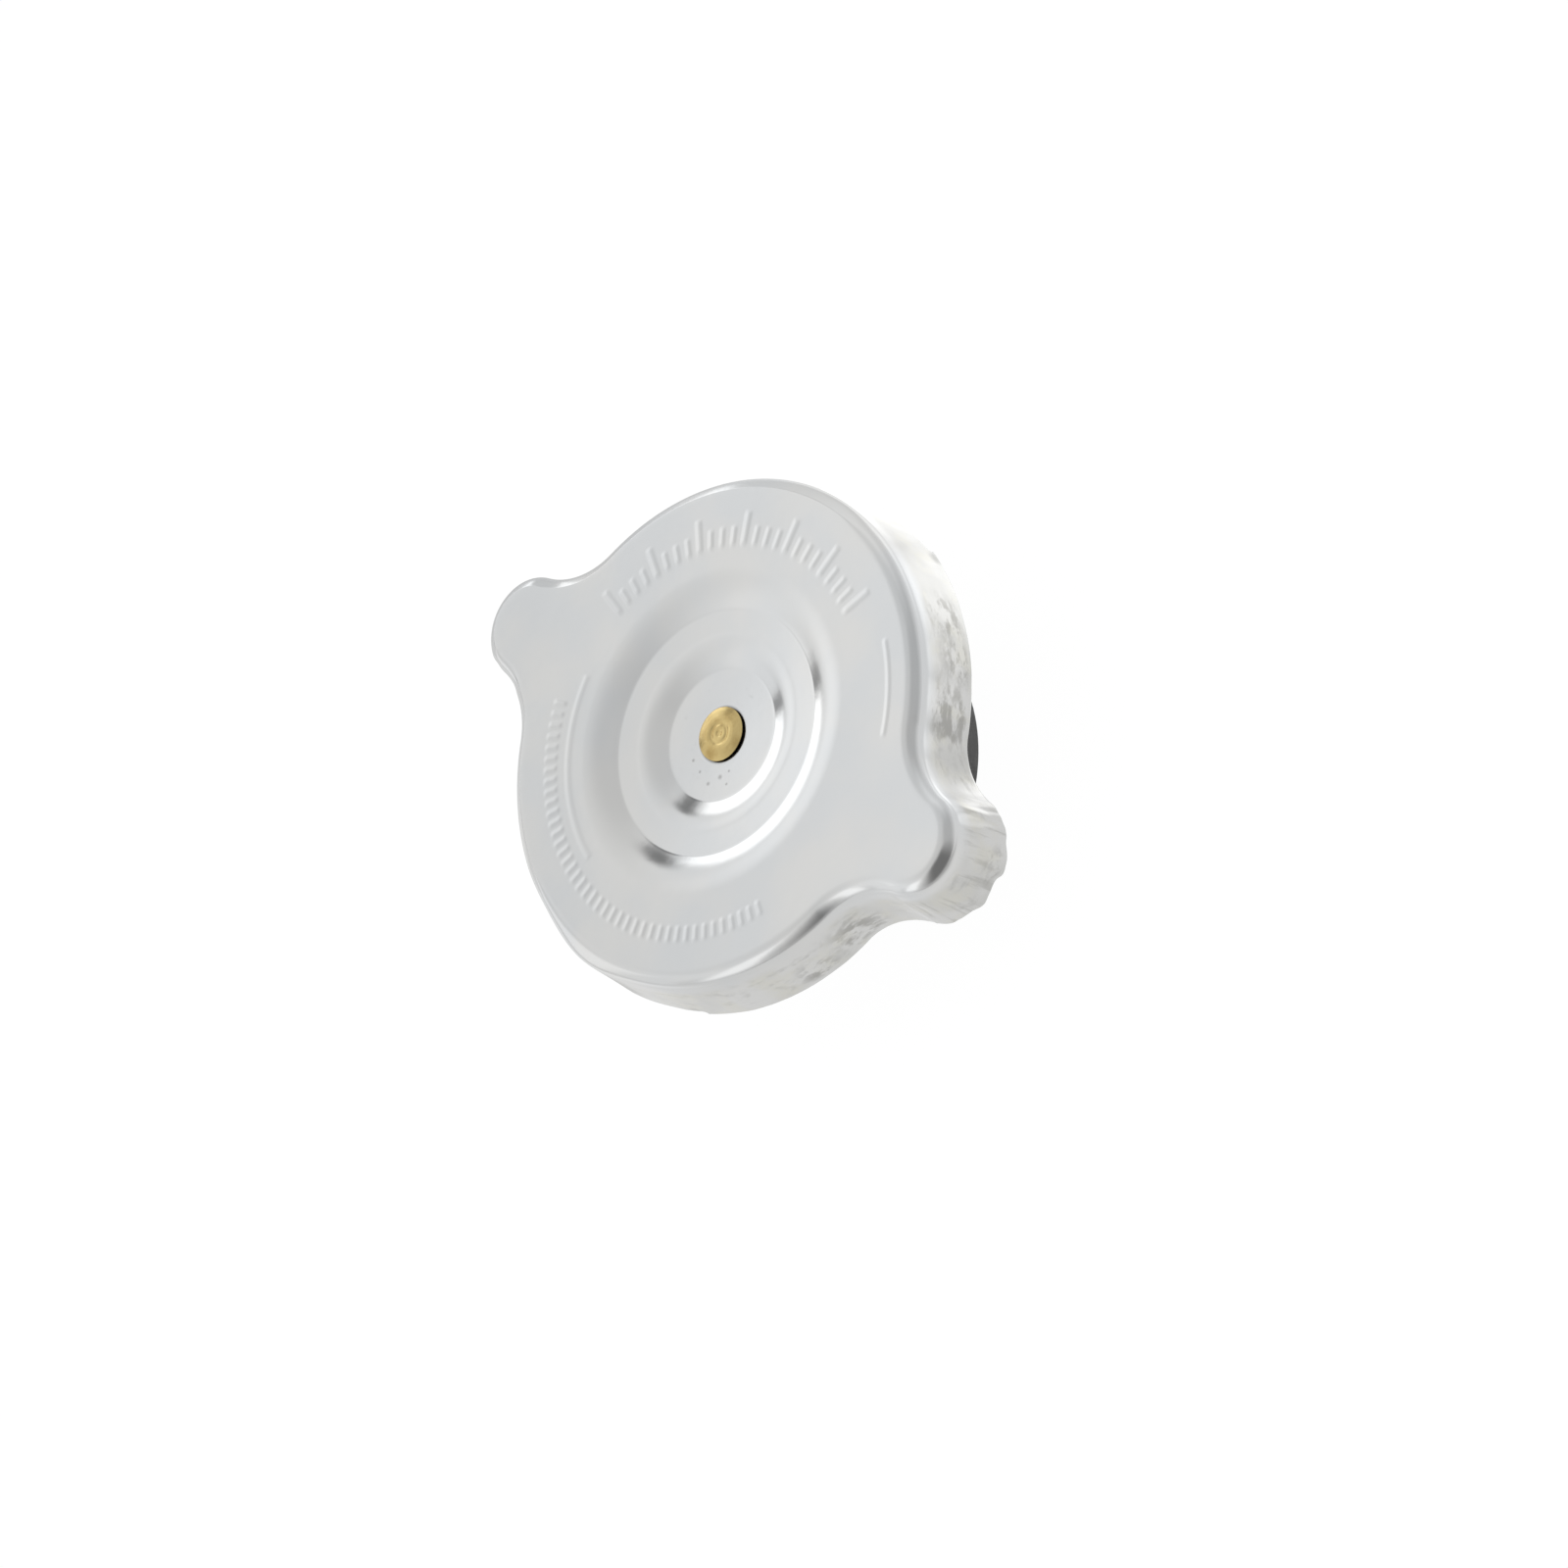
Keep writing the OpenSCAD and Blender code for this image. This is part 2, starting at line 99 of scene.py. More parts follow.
# Distances between the rings of the cover's mesh along the face and its underside, and how many rings and
# samples there are elsewhere
FACE_SPACING = 0.35
SLOPE_SPACING = 0.17
UNDER_SPACING = 1.2
SLOPE_SAMPLES = 400
UNDER_SLOPE_RINGS = 9
MARGIN_RINGS = 34
EDGE_FIRST_RINGS = 7
EDGE_RINGS = 14
SKIRT_RINGS = 32
INNER_SKIRT_RINGS = 6
INNER_EDGE_RINGS = 6
INNER_MARGIN_RINGS = 7
TAB_SECTIONS = 28
ROUND_STEPS = 4

# Sizes of the rivet
HEAD_R = 3.4
HEAD_H = 0.55
SHANK_R = 2.4
SHOULDER_R = 3.5
FOOT_R = 5.5
FOOT_H = 1.2
RIVET_SIDES = 120
HEAD_TOP_R = HEAD_R - 0.3
HEAD_WAVE_LENGTH = 1.3
HEAD_WAVE_H = 0.03

# Sizes of the springs. A part of a turn at each end lies on its seat and is ground flat. The pressure spring
# bears on the underside of the cage's top.
SPRING_WIRE = 1.8
SPRING_TURNS = 3.5
SPRING_GROUND = 0.12
SPRING_SIDES = 20
VACUUM_WIRE = 0.6
VACUUM_TURNS = 4.0
VACUUM_GROUND = 0.04
VACUUM_SIDES = 12
SEAT_TURN = 0.25
SEAT_PLAY = 0.05
PITCH_EASE = 0.02
STEPS_PER_TURN = 48
CAGE_T = 0.8

FACE_Z = cad_box[1][2] / MM
LEDGE_Z = FACE_Z - OUTER_STEP["height"]
HUB_Z = LEDGE_Z - INNER_STEP["height"]
SKIRT_Z = FACE_Z - SKIRT_H
SKIRT_TOP_Z = FACE_Z - EDGE_R


def box_mm(node):
    low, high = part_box(node)
    return low / MM, high / MM


# Mesh helpers. Points are in millimetres until a mesh is made of them.

def mesh_object(name, points, faces):
    mesh = bpy.data.meshes.new(name)
    mesh.from_pydata([tuple(p) for p in np.asarray(points) * MM], [], faces)
    mesh.update()
    piece = bpy.data.objects.new(name, mesh)
    bpy.context.scene.collection.objects.link(piece)
    net = bmesh.new()
    net.from_mesh(mesh)
    bmesh.ops.recalc_face_normals(net, faces=net.faces)
    net.to_mesh(mesh)
    net.free()
    mesh.polygons.foreach_set("use_smooth", [True] * len(mesh.polygons))
    return piece


def band_faces(rings, count, start=0, wrap=False):
    """Quads between closed rings of count points. Where wrapped, the last ring is joined to the first."""
    faces = []
    for k in range(rings if wrap else rings - 1):
        here = start + k * count
        beyond = start + (k + 1) % rings * count
        for i in range(count):
            j = (i + 1) % count
            faces.append((here + i, here + j, beyond + j, beyond + i))
    return faces


# A smaller radius than this is a pole
POLE_R = 1e-6


def lathe(name, profile, sides):
    """A turned piece from (radius, height) pairs that run from pole to pole, where the radius is 0."""
    turn = np.linspace(0, 2 * math.pi, sides, endpoint=False)
    ring = np.stack([np.cos(turn), np.sin(turn)], axis=1)
    points = []
    rows = []
    for radius, height in profile:
        if radius < POLE_R:
            rows.append([len(points)] * sides)
            points.append((0.0, 0.0, height))
        else:
            rows.append(list(range(len(points), len(points) + sides)))
            points.extend((radius * x, radius * y, height) for x, y in ring)
    faces = []
    for low, high in zip(rows, rows[1:]):
        for i in range(sides):
            j = (i + 1) % sides
            corners = list(dict.fromkeys((low[i], low[j], high[j], high[i])))
            if len(corners) > 2:
                faces.append(tuple(corners))
    return mesh_object(name, points, faces)


def rounded(corners):
    """A profile from corners (radius, height, corner radius), each rounded with its own radius."""
    points = []
    for i, (x, y, fillet) in enumerate(corners):
        p = np.array([x, y], float)
        if fillet <= 0:
            points.append(p)
            continue
        a = np.array(corners[i - 1][:2], float) - p
        b = np.array(corners[(i + 1) % len(corners)][:2], float) - p
        a /= np.linalg.norm(a)
        b /= np.linalg.norm(b)
        half = math.acos(float(np.clip(a @ b, -1, 1))) / 2
        centre = p + (a + b) / np.linalg.norm(a + b) * fillet / math.sin(half)
        start = p + a * fillet / math.tan(half) - centre
        sweep = math.copysign(math.pi - 2 * half, a[0] * b[1] - a[1] * b[0])
        first = math.atan2(start[1], start[0])
        for s in range(ROUND_STEPS + 1):
            turn = first - sweep * s / ROUND_STEPS
            points.append(centre + fillet * np.array([math.cos(turn), math.sin(turn)]))
    return [tuple(p) for p in points]


def tube(name, centres, radius, sides, flat_below, flat_above):
    """A wire along its centres, a helix about the axis, with capped ends, cut flat below and above."""
    points = []
    for centre in centres:
        out = np.array([centre[0], centre[1], 0.0])
        out /= np.linalg.norm(out)
        for s in range(sides):
            side = 2 * math.pi * s / sides
            p = centre + radius * (out * math.cos(side) + np.array([0, 0, 1]) * math.sin(side))
            p[2] = min(max(p[2], flat_below), flat_above)
            points.append(p)
    faces = band_faces(len(centres), sides)
    faces.append(tuple(range(sides)))
    faces.append(tuple(range(len(points) - sides, len(points))))
    return mesh_object(name, points, faces)


# The cover

def arc(centre, radius, start, end, steps):
    turn = np.radians(np.linspace(start, end, steps, endpoint=False))
    return np.array(centre) + radius * np.stack([np.cos(turn), np.sin(turn)], axis=1)


# The eared outline: arcs of the body and the two ears, and a hollow between them that touches both
ear_x = EAR_REACH - EAR_R
hollow_reach = BODY_R + NECK_R
hollow_x = (hollow_reach ** 2 + ear_x ** 2 - (EAR_R + NECK_R) ** 2) / (2 * ear_x)
hollow_y = math.sqrt(hollow_reach ** 2 - hollow_x ** 2)
hollow_angle = math.degrees(math.atan2(hollow_y, hollow_x))
ear_angle = math.degrees(math.atan2(hollow_y, hollow_x - ear_x))
EAR_STEPS, HOLLOW_STEPS, BODY_STEPS = 90, 48, 290


def outline(inset):
    """The cover's outline, moved inward by an inset, once round from the right ear."""
    half = np.concatenate([
        arc((ear_x, 0), EAR_R - inset, -ear_angle, ear_angle, EAR_STEPS),
        arc((hollow_x, hollow_y), NECK_R + inset, 180 + ear_angle, 180 + hollow_angle, HOLLOW_STEPS),
        arc((0, 0), BODY_R - inset, hollow_angle, 180 - hollow_angle, BODY_STEPS),
        arc((-hollow_x, hollow_y), NECK_R + inset, -hollow_angle, -ear_angle, HOLLOW_STEPS),
    ])
    return np.concatenate([half, -half])


OUTLINE = outline(0)
DIRECTIONS = OUTLINE / np.linalg.norm(OUTLINE, axis=1, keepdims=True)
EDGE_LINE = outline(EDGE_R)
AWAY = outline(0) - outline(1)
ALONG = np.concatenate([[0], np.cumsum(np.linalg.norm(np.diff(OUTLINE, axis=0), axis=1))])
POLAR = np.degrees(np.arctan2(np.abs(OUTLINE[:, 1]), np.abs(OUTLINE[:, 0])))

# The side towards which the rounded edge is sharper, as an angle and a direction; where round it that begins
# and is full, as cosines; and the x at which it ends and is still full
SHARP_TURN = math.radians(160.0)
SHARP_SIDE = np.array([math.cos(SHARP_TURN), math.sin(SHARP_TURN)])
SHARP_FROM, SHARP_FULL = 0.05, 0.26
SHARP_END_X, SHARP_FULL_X = 27.0, 20.0


def flat_ring(xy, z):
    return np.column_stack([xy, np.full(len(xy), z) if np.isscalar(z) else z])


def circle_ring(radius, z):
    return flat_ring(DIRECTIONS * radius, z)


def margin_ring(share, z):
    """A ring between the round web and the edge's eared outline."""
    return flat_ring(DIRECTIONS * WEB_R * (1 - share) + EDGE_LINE * share, z)


def smooth_step(value, low, high):
    share = np.clip((value - low) / (high - low), 0, 1)
    return share * share * (3 - 2 * share)


# Where the skirt's lower edge bends inward into a locking tab: a share of 1 there, and none beyond its ends
TAB_FROM = 90 - TAB_SPAN / 2 - TAB_END
TAB_SHARE = smooth_step(POLAR, TAB_FROM, TAB_FROM + TAB_EASE)


def wall_ring(inset, z):
    """A ring of the rounded edge or the skirt, at one inset and height or at one for each point. It spreads
    outward most where it faces along Y, and bends inward at the locking tabs."""
    drop = np.maximum(0.0, (SKIRT_TOP_Z - z) / (SKIRT_TOP_Z - SKIRT_Z))
    spread = SKIRT_FLARE * AWAY[:, 1] ** 2 * drop - inset
    low = np.clip((SKIRT_Z + TAB_BEND - z) / TAB_BEND, 0, 1)
    spread -= TAB_SHARE * TAB_BEND * (1 - np.sqrt(1 - low * low))
    return flat_ring(OUTLINE + AWAY * spread[:, None], z)


def edge_rings():
    """Insets and heights of the rounded edge from the face down. It is an even round on one side. On the
    other it starts further out, turns fast at the face, runs down nearly straight and meets the skirt."""
    sharp = smooth_step(AWAY @ SHARP_SIDE, SHARP_FROM, SHARP_FULL)
    sharp = sharp * smooth_step(-OUTLINE[:, 0], -SHARP_END_X, -SHARP_FULL_X)
    first = math.radians(EDGE_FIRST_TURN)
    fast = np.linspace(0, first, EDGE_FIRST_RINGS, endpoint=False)
    begin = np.array([EDGE_FIRST_AT, 0.0])
    start = begin + EDGE_FIRST_R * np.array([math.sin(first), 1 - math.cos(first)])
    bend = np.array([EDGE_R, start[1] + (EDGE_R - start[0]) * math.tan(first)])
    end = np.array([EDGE_R, EDGE_H])
    share = np.linspace(0, 1, EDGE_RINGS)[:, None]
    slow = (1 - share) ** 3 * start + 3 * share * (1 - share) * bend + share ** 3 * end
    uneven = np.concatenate([begin + EDGE_FIRST_R * np.stack([np.sin(fast), 1 - np.cos(fast)], axis=1), slow])
    turns = np.concatenate([fast, np.linspace(first, math.pi / 2, EDGE_RINGS)])
    even = np.stack([EDGE_R * np.sin(turns), EDGE_H * (1 - np.cos(turns))], axis=1)
    return [(EDGE_R - sharp * u[0] - (1 - sharp) * e[0], FACE_Z - sharp * u[1] - (1 - sharp) * e[1])
            for u, e in zip(uneven, even)]


def straight(start, end, spacing):
    """Points from one (radius, height) up to but not at another, about a spacing apart."""
    count = max(2, int(round((end[0] - start[0]) / spacing)))
    return [tuple(p) for p in np.linspace(start, end, count, endpoint=False)]


def under_slope(step, foot_z):
    """Radius and height along the underside of a pressed step, from its foot to its shoulder."""
    share = np.linspace(0, 1, UNDER_SLOPE_RINGS)
    radii = step["shoulder_r"] - step["width"] * (1 - share)
    return list(zip(radii, foot_z + step["height"] * (1 - np.cos(math.pi * share)) / 2))


def face_slope(step, foot_z):
    """The same along the face side, where the fall grows over the foot and then eases off to the shoulder."""
    ease = 2 * (step["width"] - step["foot"] / 2 - step["height"] / step["steepest"])
    along = np.linspace(0, step["width"], SLOPE_SAMPLES)
    fall = step["steepest"] * np.minimum(smooth_step(along, 0, step["foot"]),
                                         np.clip((step["width"] - along) / ease, 0, 1))
    rise = np.concatenate([[0], np.cumsum((fall[1:] + fall[:-1]) / 2 * np.diff(along))])
    rise *= step["height"] / rise[-1]
    at = np.linspace(0, step["width"], int(step["width"] / SLOPE_SPACING))
    return list(zip(step["foot_r"] + at, foot_z + np.interp(at, along, rise)))


def face_profile():
    """Radius and height of the pressed middle's face, from the rivet's hole to the round web."""
    inner = face_slope(INNER_FACE, HUB_Z + HUB_FALL)
    outer = face_slope(OUTER_FACE, LEDGE_Z)
    return (straight((SHANK_R, HUB_Z), (SEAT_R, HUB_Z), FACE_SPACING)
            + straight((SEAT_R, HUB_Z), inner[0], FACE_SPACING) + inner[:-1]
            + straight(inner[-1], outer[0], FACE_SPACING) + outer[:-1]
            + straight(outer[-1], (WEB_R, FACE_Z), FACE_SPACING))


def under_profile():
    """The same of its underside."""
    inner = under_slope(INNER_STEP, HUB_Z)
    outer = under_slope(OUTER_STEP, LEDGE_Z)
    points = (straight((SHANK_R, HUB_Z), inner[0], UNDER_SPACING) + inner[:-1]
              + straight(inner[-1], outer[0], UNDER_SPACING) + outer[:-1]
              + straight(outer[-1], (WEB_R, FACE_Z), UNDER_SPACING))
    return [(r, z - SHEET_T) for r, z in points]


# Stamped relief of the face: plain graduations and two thin arcs
MARK_SOFT = 0.36
MARK_H = 0.075
LONG_TICKS = {"r_from": 23.0, "r_to": 27.0, "start": 60.0, "end": 162.0, "pitch": 17.0, "width": 0.75}
SHORT_TICKS = {"r_from": 23.0, "r_to": 25.2, "start": 60.0, "end": 162.0, "pitch": 4.25, "width": 0.6}
FINE_TICKS = {"r_from": 24.2, "r_to": 26.0, "start": -166.0, "end": -38.0, "pitch": 3.2, "width": 0.55}
STAMPED_ARCS = [
    {"r": 22.3, "start": -176.0, "end": -113.0, "width": 0.5},
    {"r": 27.2, "start": 20.0, "end": 45.0, "width": 0.5},
]


def past(value, at):
    """0 before a line and 1 past it, over the soft width of a stamped mark."""
    return smooth_step(value, at - MARK_SOFT / 2, at + MARK_SOFT / 2)


def turn_between(angle, at):
    """How far apart two angles are, in degrees."""
    return np.abs((angle - at + 180) % 360 - 180)


def bar(radius, angle, ticks, at):
    """Height share of a raised radial bar at an angle in degrees."""
    across = turn_between(angle, at) * math.pi / 180 * radius
    side = 1 - past(across, ticks["width"] / 2)
    ends = past(radius, ticks["r_from"]) * (1 - past(radius, ticks["r_to"]))
    return side * ends


def stamped_arc(radius, angle, line):
    """Height share of a thin raised arc from one angle to another."""
    middle = (line["start"] + line["end"]) / 2
    half = (line["end"] - line["start"]) / 2
    beyond = (turn_between(angle, middle) - half) * math.pi / 180 * radius
    side = 1 - past(np.abs(radius - line["r"]), line["width"] / 2)
    return side * (1 - past(beyond, 0))


def relief(xy):
    """Height of the stamped relief at places on the face."""
    radius = np.linalg.norm(xy, axis=1)
    angle = np.degrees(np.arctan2(xy[:, 1], xy[:, 0]))
    height = np.zeros(len(xy))
    for ticks in (LONG_TICKS, SHORT_TICKS, FINE_TICKS):
        count = int(round((ticks["end"] - ticks["start"]) / ticks["pitch"]))
        for i in range(count + 1):
            at = ticks["start"] + i * ticks["pitch"]
            height = np.maximum(height, bar(radius, angle, ticks, at))
    for line in STAMPED_ARCS:
        height = np.maximum(height, stamped_arc(radius, angle, line))
    return MARK_H * height


# Small dark pits on the flat round the rivet, and one at the skirt's lower edge: place and radius
PITS = [
    ((2.73, -4.55, HUB_Z), 0.3),
    ((1.48, -5.96, HUB_Z), 0.26),
    ((4.2, -4.9, HUB_Z), 0.2),
    ((-0.6, -5.2, HUB_Z), 0.2),
    ((-2.4, -4.4, HUB_Z), 0.22),
    ((3.6, -3.4, HUB_Z), 0.18),
    ((12.2, 30.1, 16.9), 1.0),
]

# Slight waves that pressing leaves in the sheet. Each has its length along the outline, its length down the
# skirt, its height and its seed. Folds are most at the ears and necks.
FACE_WAVE = (9.0, 20.0, 0.018, 3.7)
SKIRT_WAVES = [(5.0, 7.0, 0.07, 9.1), (1.5, 2.2, 0.022, 13.1)]
FOLDS = [(1.9, 9.0, 0.26, 2.3), (0.9, 4.0, 0.1, 5.3)]
FOLD_FROM_X, FOLD_FULL_X = 34.5, 39.5

# How far below the face the skirt's waves begin and are full
WAVES_FROM, WAVES_FULL = EDGE_R * 0.6, SKIRT_H * 0.6

# The crumpled corner of an ear's lower edge: its place round the ear in degrees, how far it stands out, and
# how wide it is on its gentle and its sharp side. A smaller one is beside it, and both grow down the skirt.
EAR_CORNER = {"at": 9.0, "out": 0.75, "gentle": 26.0, "sharp": 5.0}
NEXT_CORNER = {"at": -24.0, "out": 0.35, "wide": 12.0}
CORNER_GROWTH = 2.5

# A slight swelling of the edge and the skirt: its place and its width round the body in degrees, its height,
# and how far below the face it is full
SWELLING = {"at": -97.0, "wide": 12.0, "out": 0.65, "full": 1.5}


def wave(p, shape):
    length, drop, height, seed = shape
    return height * noise.noise(Vector((p[0] / length + seed, p[1] / length - seed, p[2] / drop + seed)))


def skirt_bulge(i, p):
    """How far the skirt stands out at point i of a ring."""
    bulge = sum(wave(p, shape) for shape in SKIRT_WAVES)
    near_ear = float(smooth_step(abs(OUTLINE[i][0]), FOLD_FROM_X, FOLD_FULL_X))
    if near_ear > 0:
        place = (ALONG[i], 0.0, p[2])
        bulge += near_ear * sum(wave(place, shape) for shape in FOLDS)
    return bulge


def ear_corner(z):
    """How far the crumpled corners of both ears stand out from a ring at heights z."""
    across = np.abs(OUTLINE[:, 0])
    around = np.degrees(np.arctan2(OUTLINE[:, 1] * np.sign(OUTLINE[:, 0]), across - ear_x))
    off = around - EAR_CORNER["at"]
    width = np.where(off > 0, EAR_CORNER["gentle"], EAR_CORNER["sharp"])
    first = EAR_CORNER["out"] * np.exp(-(off / width) ** 2)
    second = NEXT_CORNER["out"] * np.exp(-((around - NEXT_CORNER["at"]) / NEXT_CORNER["wide"]) ** 2)
    down = np.clip((SKIRT_TOP_Z - z) / (SKIRT_TOP_Z - SKIRT_Z), 0, 1)
    return (first + second) * (across > hollow_x) * down ** CORNER_GROWTH


def swelling(z):
    """How far the swelling stands out from a ring at heights z."""
    around = np.degrees(np.arctan2(OUTLINE[:, 1], OUTLINE[:, 0]))
    out = SWELLING["out"] * np.exp(-((around - SWELLING["at"]) / SWELLING["wide"]) ** 2)
    return out * smooth_step(FACE_Z - z, 0, SWELLING["full"])


def make_cover():
    """The pressed cover: rings from the rivet's hole out over the face, round the edge, down the skirt and
    back along the inside, and the two locking tabs."""
    rings = []
    kinds = []

    def add(ring, kind):
        rings.append(ring)
        kinds.append(kind)

    for r, z in face_profile():
        add(circle_ring(r, z), "face")
    for share in np.linspace(0, 1, MARGIN_RINGS, endpoint=False):
        add(margin_ring(share, FACE_Z), "face")
    for inset, z in edge_rings():
        add(wall_ring(inset, z), "edge")
    for z in np.linspace(FACE_Z - EDGE_H, SKIRT_Z + LIP_R, SKIRT_RINGS)[1:]:
        add(wall_ring(0, z), "skirt")
    for a in np.radians((30, 60, 90)):
        add(wall_ring(LIP_R * (1 - math.cos(a)), SKIRT_Z + LIP_R * (1 - math.sin(a))), "lip")
    for a in np.radians((0, 30, 60, 90)):
        add(wall_ring(SHEET_T - LIP_R * (1 - math.sin(a)), SKIRT_Z + LIP_R * (1 - math.cos(a))), "lip")
    for z in np.linspace(SKIRT_Z + LIP_R, SKIRT_TOP_Z, INNER_SKIRT_RINGS)[1:-1]:
        add(wall_ring(SHEET_T, z), "inside")
    inner_r = EDGE_R - SHEET_T
    for a in np.radians(np.linspace(90, 0, INNER_EDGE_RINGS)):
        add(wall_ring(EDGE_R - inner_r * math.sin(a), SKIRT_TOP_Z + inner_r * math.cos(a)), "inside")
    for share in np.linspace(1, 0, INNER_MARGIN_RINGS)[1:]:
        add(margin_ring(share, FACE_Z - SHEET_T), "inside")
    for r, z in reversed(under_profile()):
        add(circle_ring(r, z), "inside")

    for ring, kind in zip(rings, kinds):
        if kind == "face":
            ring[:, 2] += relief(ring[:, :2])
        if kind in ("face", "edge"):
            ring[:, 2] += [wave(p, FACE_WAVE) for p in ring]
        if kind in ("skirt", "edge", "lip"):
            waved = smooth_step(FACE_Z - ring[:, 2], WAVES_FROM, WAVES_FULL)
            bulge = np.array([skirt_bulge(i, p) for i, p in enumerate(ring)]) * waved
            bulge += ear_corner(ring[:, 2])
            bulge += swelling(ring[:, 2])
            ring[:, :2] += AWAY * bulge[:, None]
    points = np.concatenate(rings)
    faces = band_faces(len(rings), len(OUTLINE), wrap=True)
    tab_points, tab_faces = locking_tabs(len(points))
    piece = mesh_object("cover_pressing", np.concatenate([points, tab_points]), faces + tab_faces)
    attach(piece, "cap_cover")
    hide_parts("cap_shell")
    return piece


def locking_tabs(first):
    """The two inturned tabs: a strip that leaves the skirt's lower edge in a bend and ends in a rounded tip.
    Their points are numbered from first on."""
    points = []
    faces = []
    tip_r = BODY_R - SHEET_T - TAB_REACH
    for middle in (90, 270):
        start = first + len(points)
        for angle in np.radians(np.linspace(middle - TAB_SPAN / 2, middle + TAB_SPAN / 2, TAB_SECTIONS)):
            root_r = BODY_R + SKIRT_FLARE * math.sin(angle) ** 2 - TAB_BEND
            section = rounded([
                (tip_r, SKIRT_Z, TAB_TIP_R),
                (root_r, SKIRT_Z, 0.0),
                (root_r, SKIRT_Z + SHEET_T, 0.0),
                (tip_r, SKIRT_Z + SHEET_T, TAB_TIP_R),
            ])
            points.extend((r * math.cos(angle), r * math.sin(angle), z) for r, z in section)
        size = len(section)
        last = start + (TAB_SECTIONS - 1) * size
        faces.extend(band_faces(TAB_SECTIONS, size, start))
        faces.append(tuple(range(start, start + size)))
        faces.append(tuple(range(last, last + size)))
    return np.array(points), faces


def make_rivet():
    """The rivet from its foot up. Its head overhangs the flat and has a ring struck into the rounded top."""
    washer_low = box_mm("swivel_washer")[0].z
    foot_low = box_mm("center_rivet")[0].z
    top = HUB_Z + HEAD_H
    corners = [
        (0.0, foot_low, 0.0),
        (FOOT_R, foot_low, 0.35),
        (FOOT_R, foot_low + FOOT_H, 0.15),
        (SHOULDER_R, foot_low + FOOT_H, 0.0),
        (SHOULDER_R, washer_low, 0.0),
        (SHANK_R, washer_low, 0.0),
        (SHANK_R, HUB_Z, 0.0),
        (HEAD_R - 0.45, HUB_Z, 0.0),
        (HEAD_TOP_R, HUB_Z + 0.1, 0.0),
        (HEAD_R, HUB_Z + 0.26, 0.1),
        (HEAD_R - 0.05, top - 0.2, 0.12),
        (HEAD_R - 0.55, top - 0.03, 0.4),
        (HEAD_R - 1.2, top + 0.14, 0.5),
        (1.8, top + 0.17, 0.3),
        (1.5, top + 0.14, 0.08),
        (1.28, top + 0.04, 0.08),
        (1.12, top + 0.04, 0.06),
        (0.9, top + 0.14, 0.1),
        (0.5, top + 0.13, 0.1),
        (0.3, top + 0.03, 0.08),
        (0.0, top + 0.02, 0.0),
    ]
    piece = lathe("peened_rivet", rounded(corners), RIVET_SIDES)
    for v in piece.data.vertices:
        if v.co.z > HUB_Z * MM and v.co.xy.length < HEAD_TOP_R * MM:
            x, y, _ = v.co / MM / HEAD_WAVE_LENGTH
            v.co.z += HEAD_WAVE_H * MM * noise.noise(Vector((x + 5, y, 2.0)))
    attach(piece, "cap_cover")
    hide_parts("center_rivet")
    return piece


def helix(radius, wire, turns, low, high):
    """Centres of a compression spring between two seats, its end turns lying on them."""
    rise = high - low - wire
    centres = []
    for i in range(int(turns * STEPS_PER_TURN) + 1):
        turn = i / STEPS_PER_TURN
        share = min(max((turn - SEAT_TURN) / (turns - 2 * SEAT_TURN), 0), 1)
        eased = share + PITCH_EASE * math.sin(2 * math.pi * share) * (share - 0.5)
        angle = 2 * math.pi * turn
        z = low + wire / 2 + rise * eased
        centres.append(np.array([radius * math.cos(angle), radius * math.sin(angle), z]))
    return centres


def make_springs():
    """Both springs, each attached to the body that carries one of its ends."""
    low, high = box_mm("pressure_spring")
    radius = (high.x - low.x - SPRING_WIRE) / 2
    ceiling = box_mm("valve_cage")[1].z - CAGE_T
    end = ceiling - SEAT_PLAY
    centres = helix(radius, SPRING_WIRE, SPRING_TURNS, low.z, end)
    pressure = tube("pressure_coil", centres, SPRING_WIRE / 2, SPRING_SIDES,
                    low.z + SPRING_GROUND, end - SPRING_GROUND)
    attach(pressure, "valve_carrier")
    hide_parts("pressure_spring")
    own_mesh(pressure)

    low, high = box_mm("vacuum_spring")
    radius = (high.x - low.x - VACUUM_WIRE) / 2
    top = box_mm("spring_keeper")[0].z
    end = top - SEAT_PLAY
    centres = helix(radius, VACUUM_WIRE, VACUUM_TURNS, low.z, end)
    vacuum = tube("vacuum_coil", centres, VACUUM_WIRE / 2, VACUUM_SIDES,
                  low.z + VACUUM_GROUND, end - VACUUM_GROUND)
    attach(vacuum, "pressure_valve")
    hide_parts("vacuum_spring")
    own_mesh(vacuum)
    return pressure, vacuum


# Materials

# Where a round spot ends and is full, as shares of its radius
SPOT_END, SPOT_FULL = 1.5, 0.3


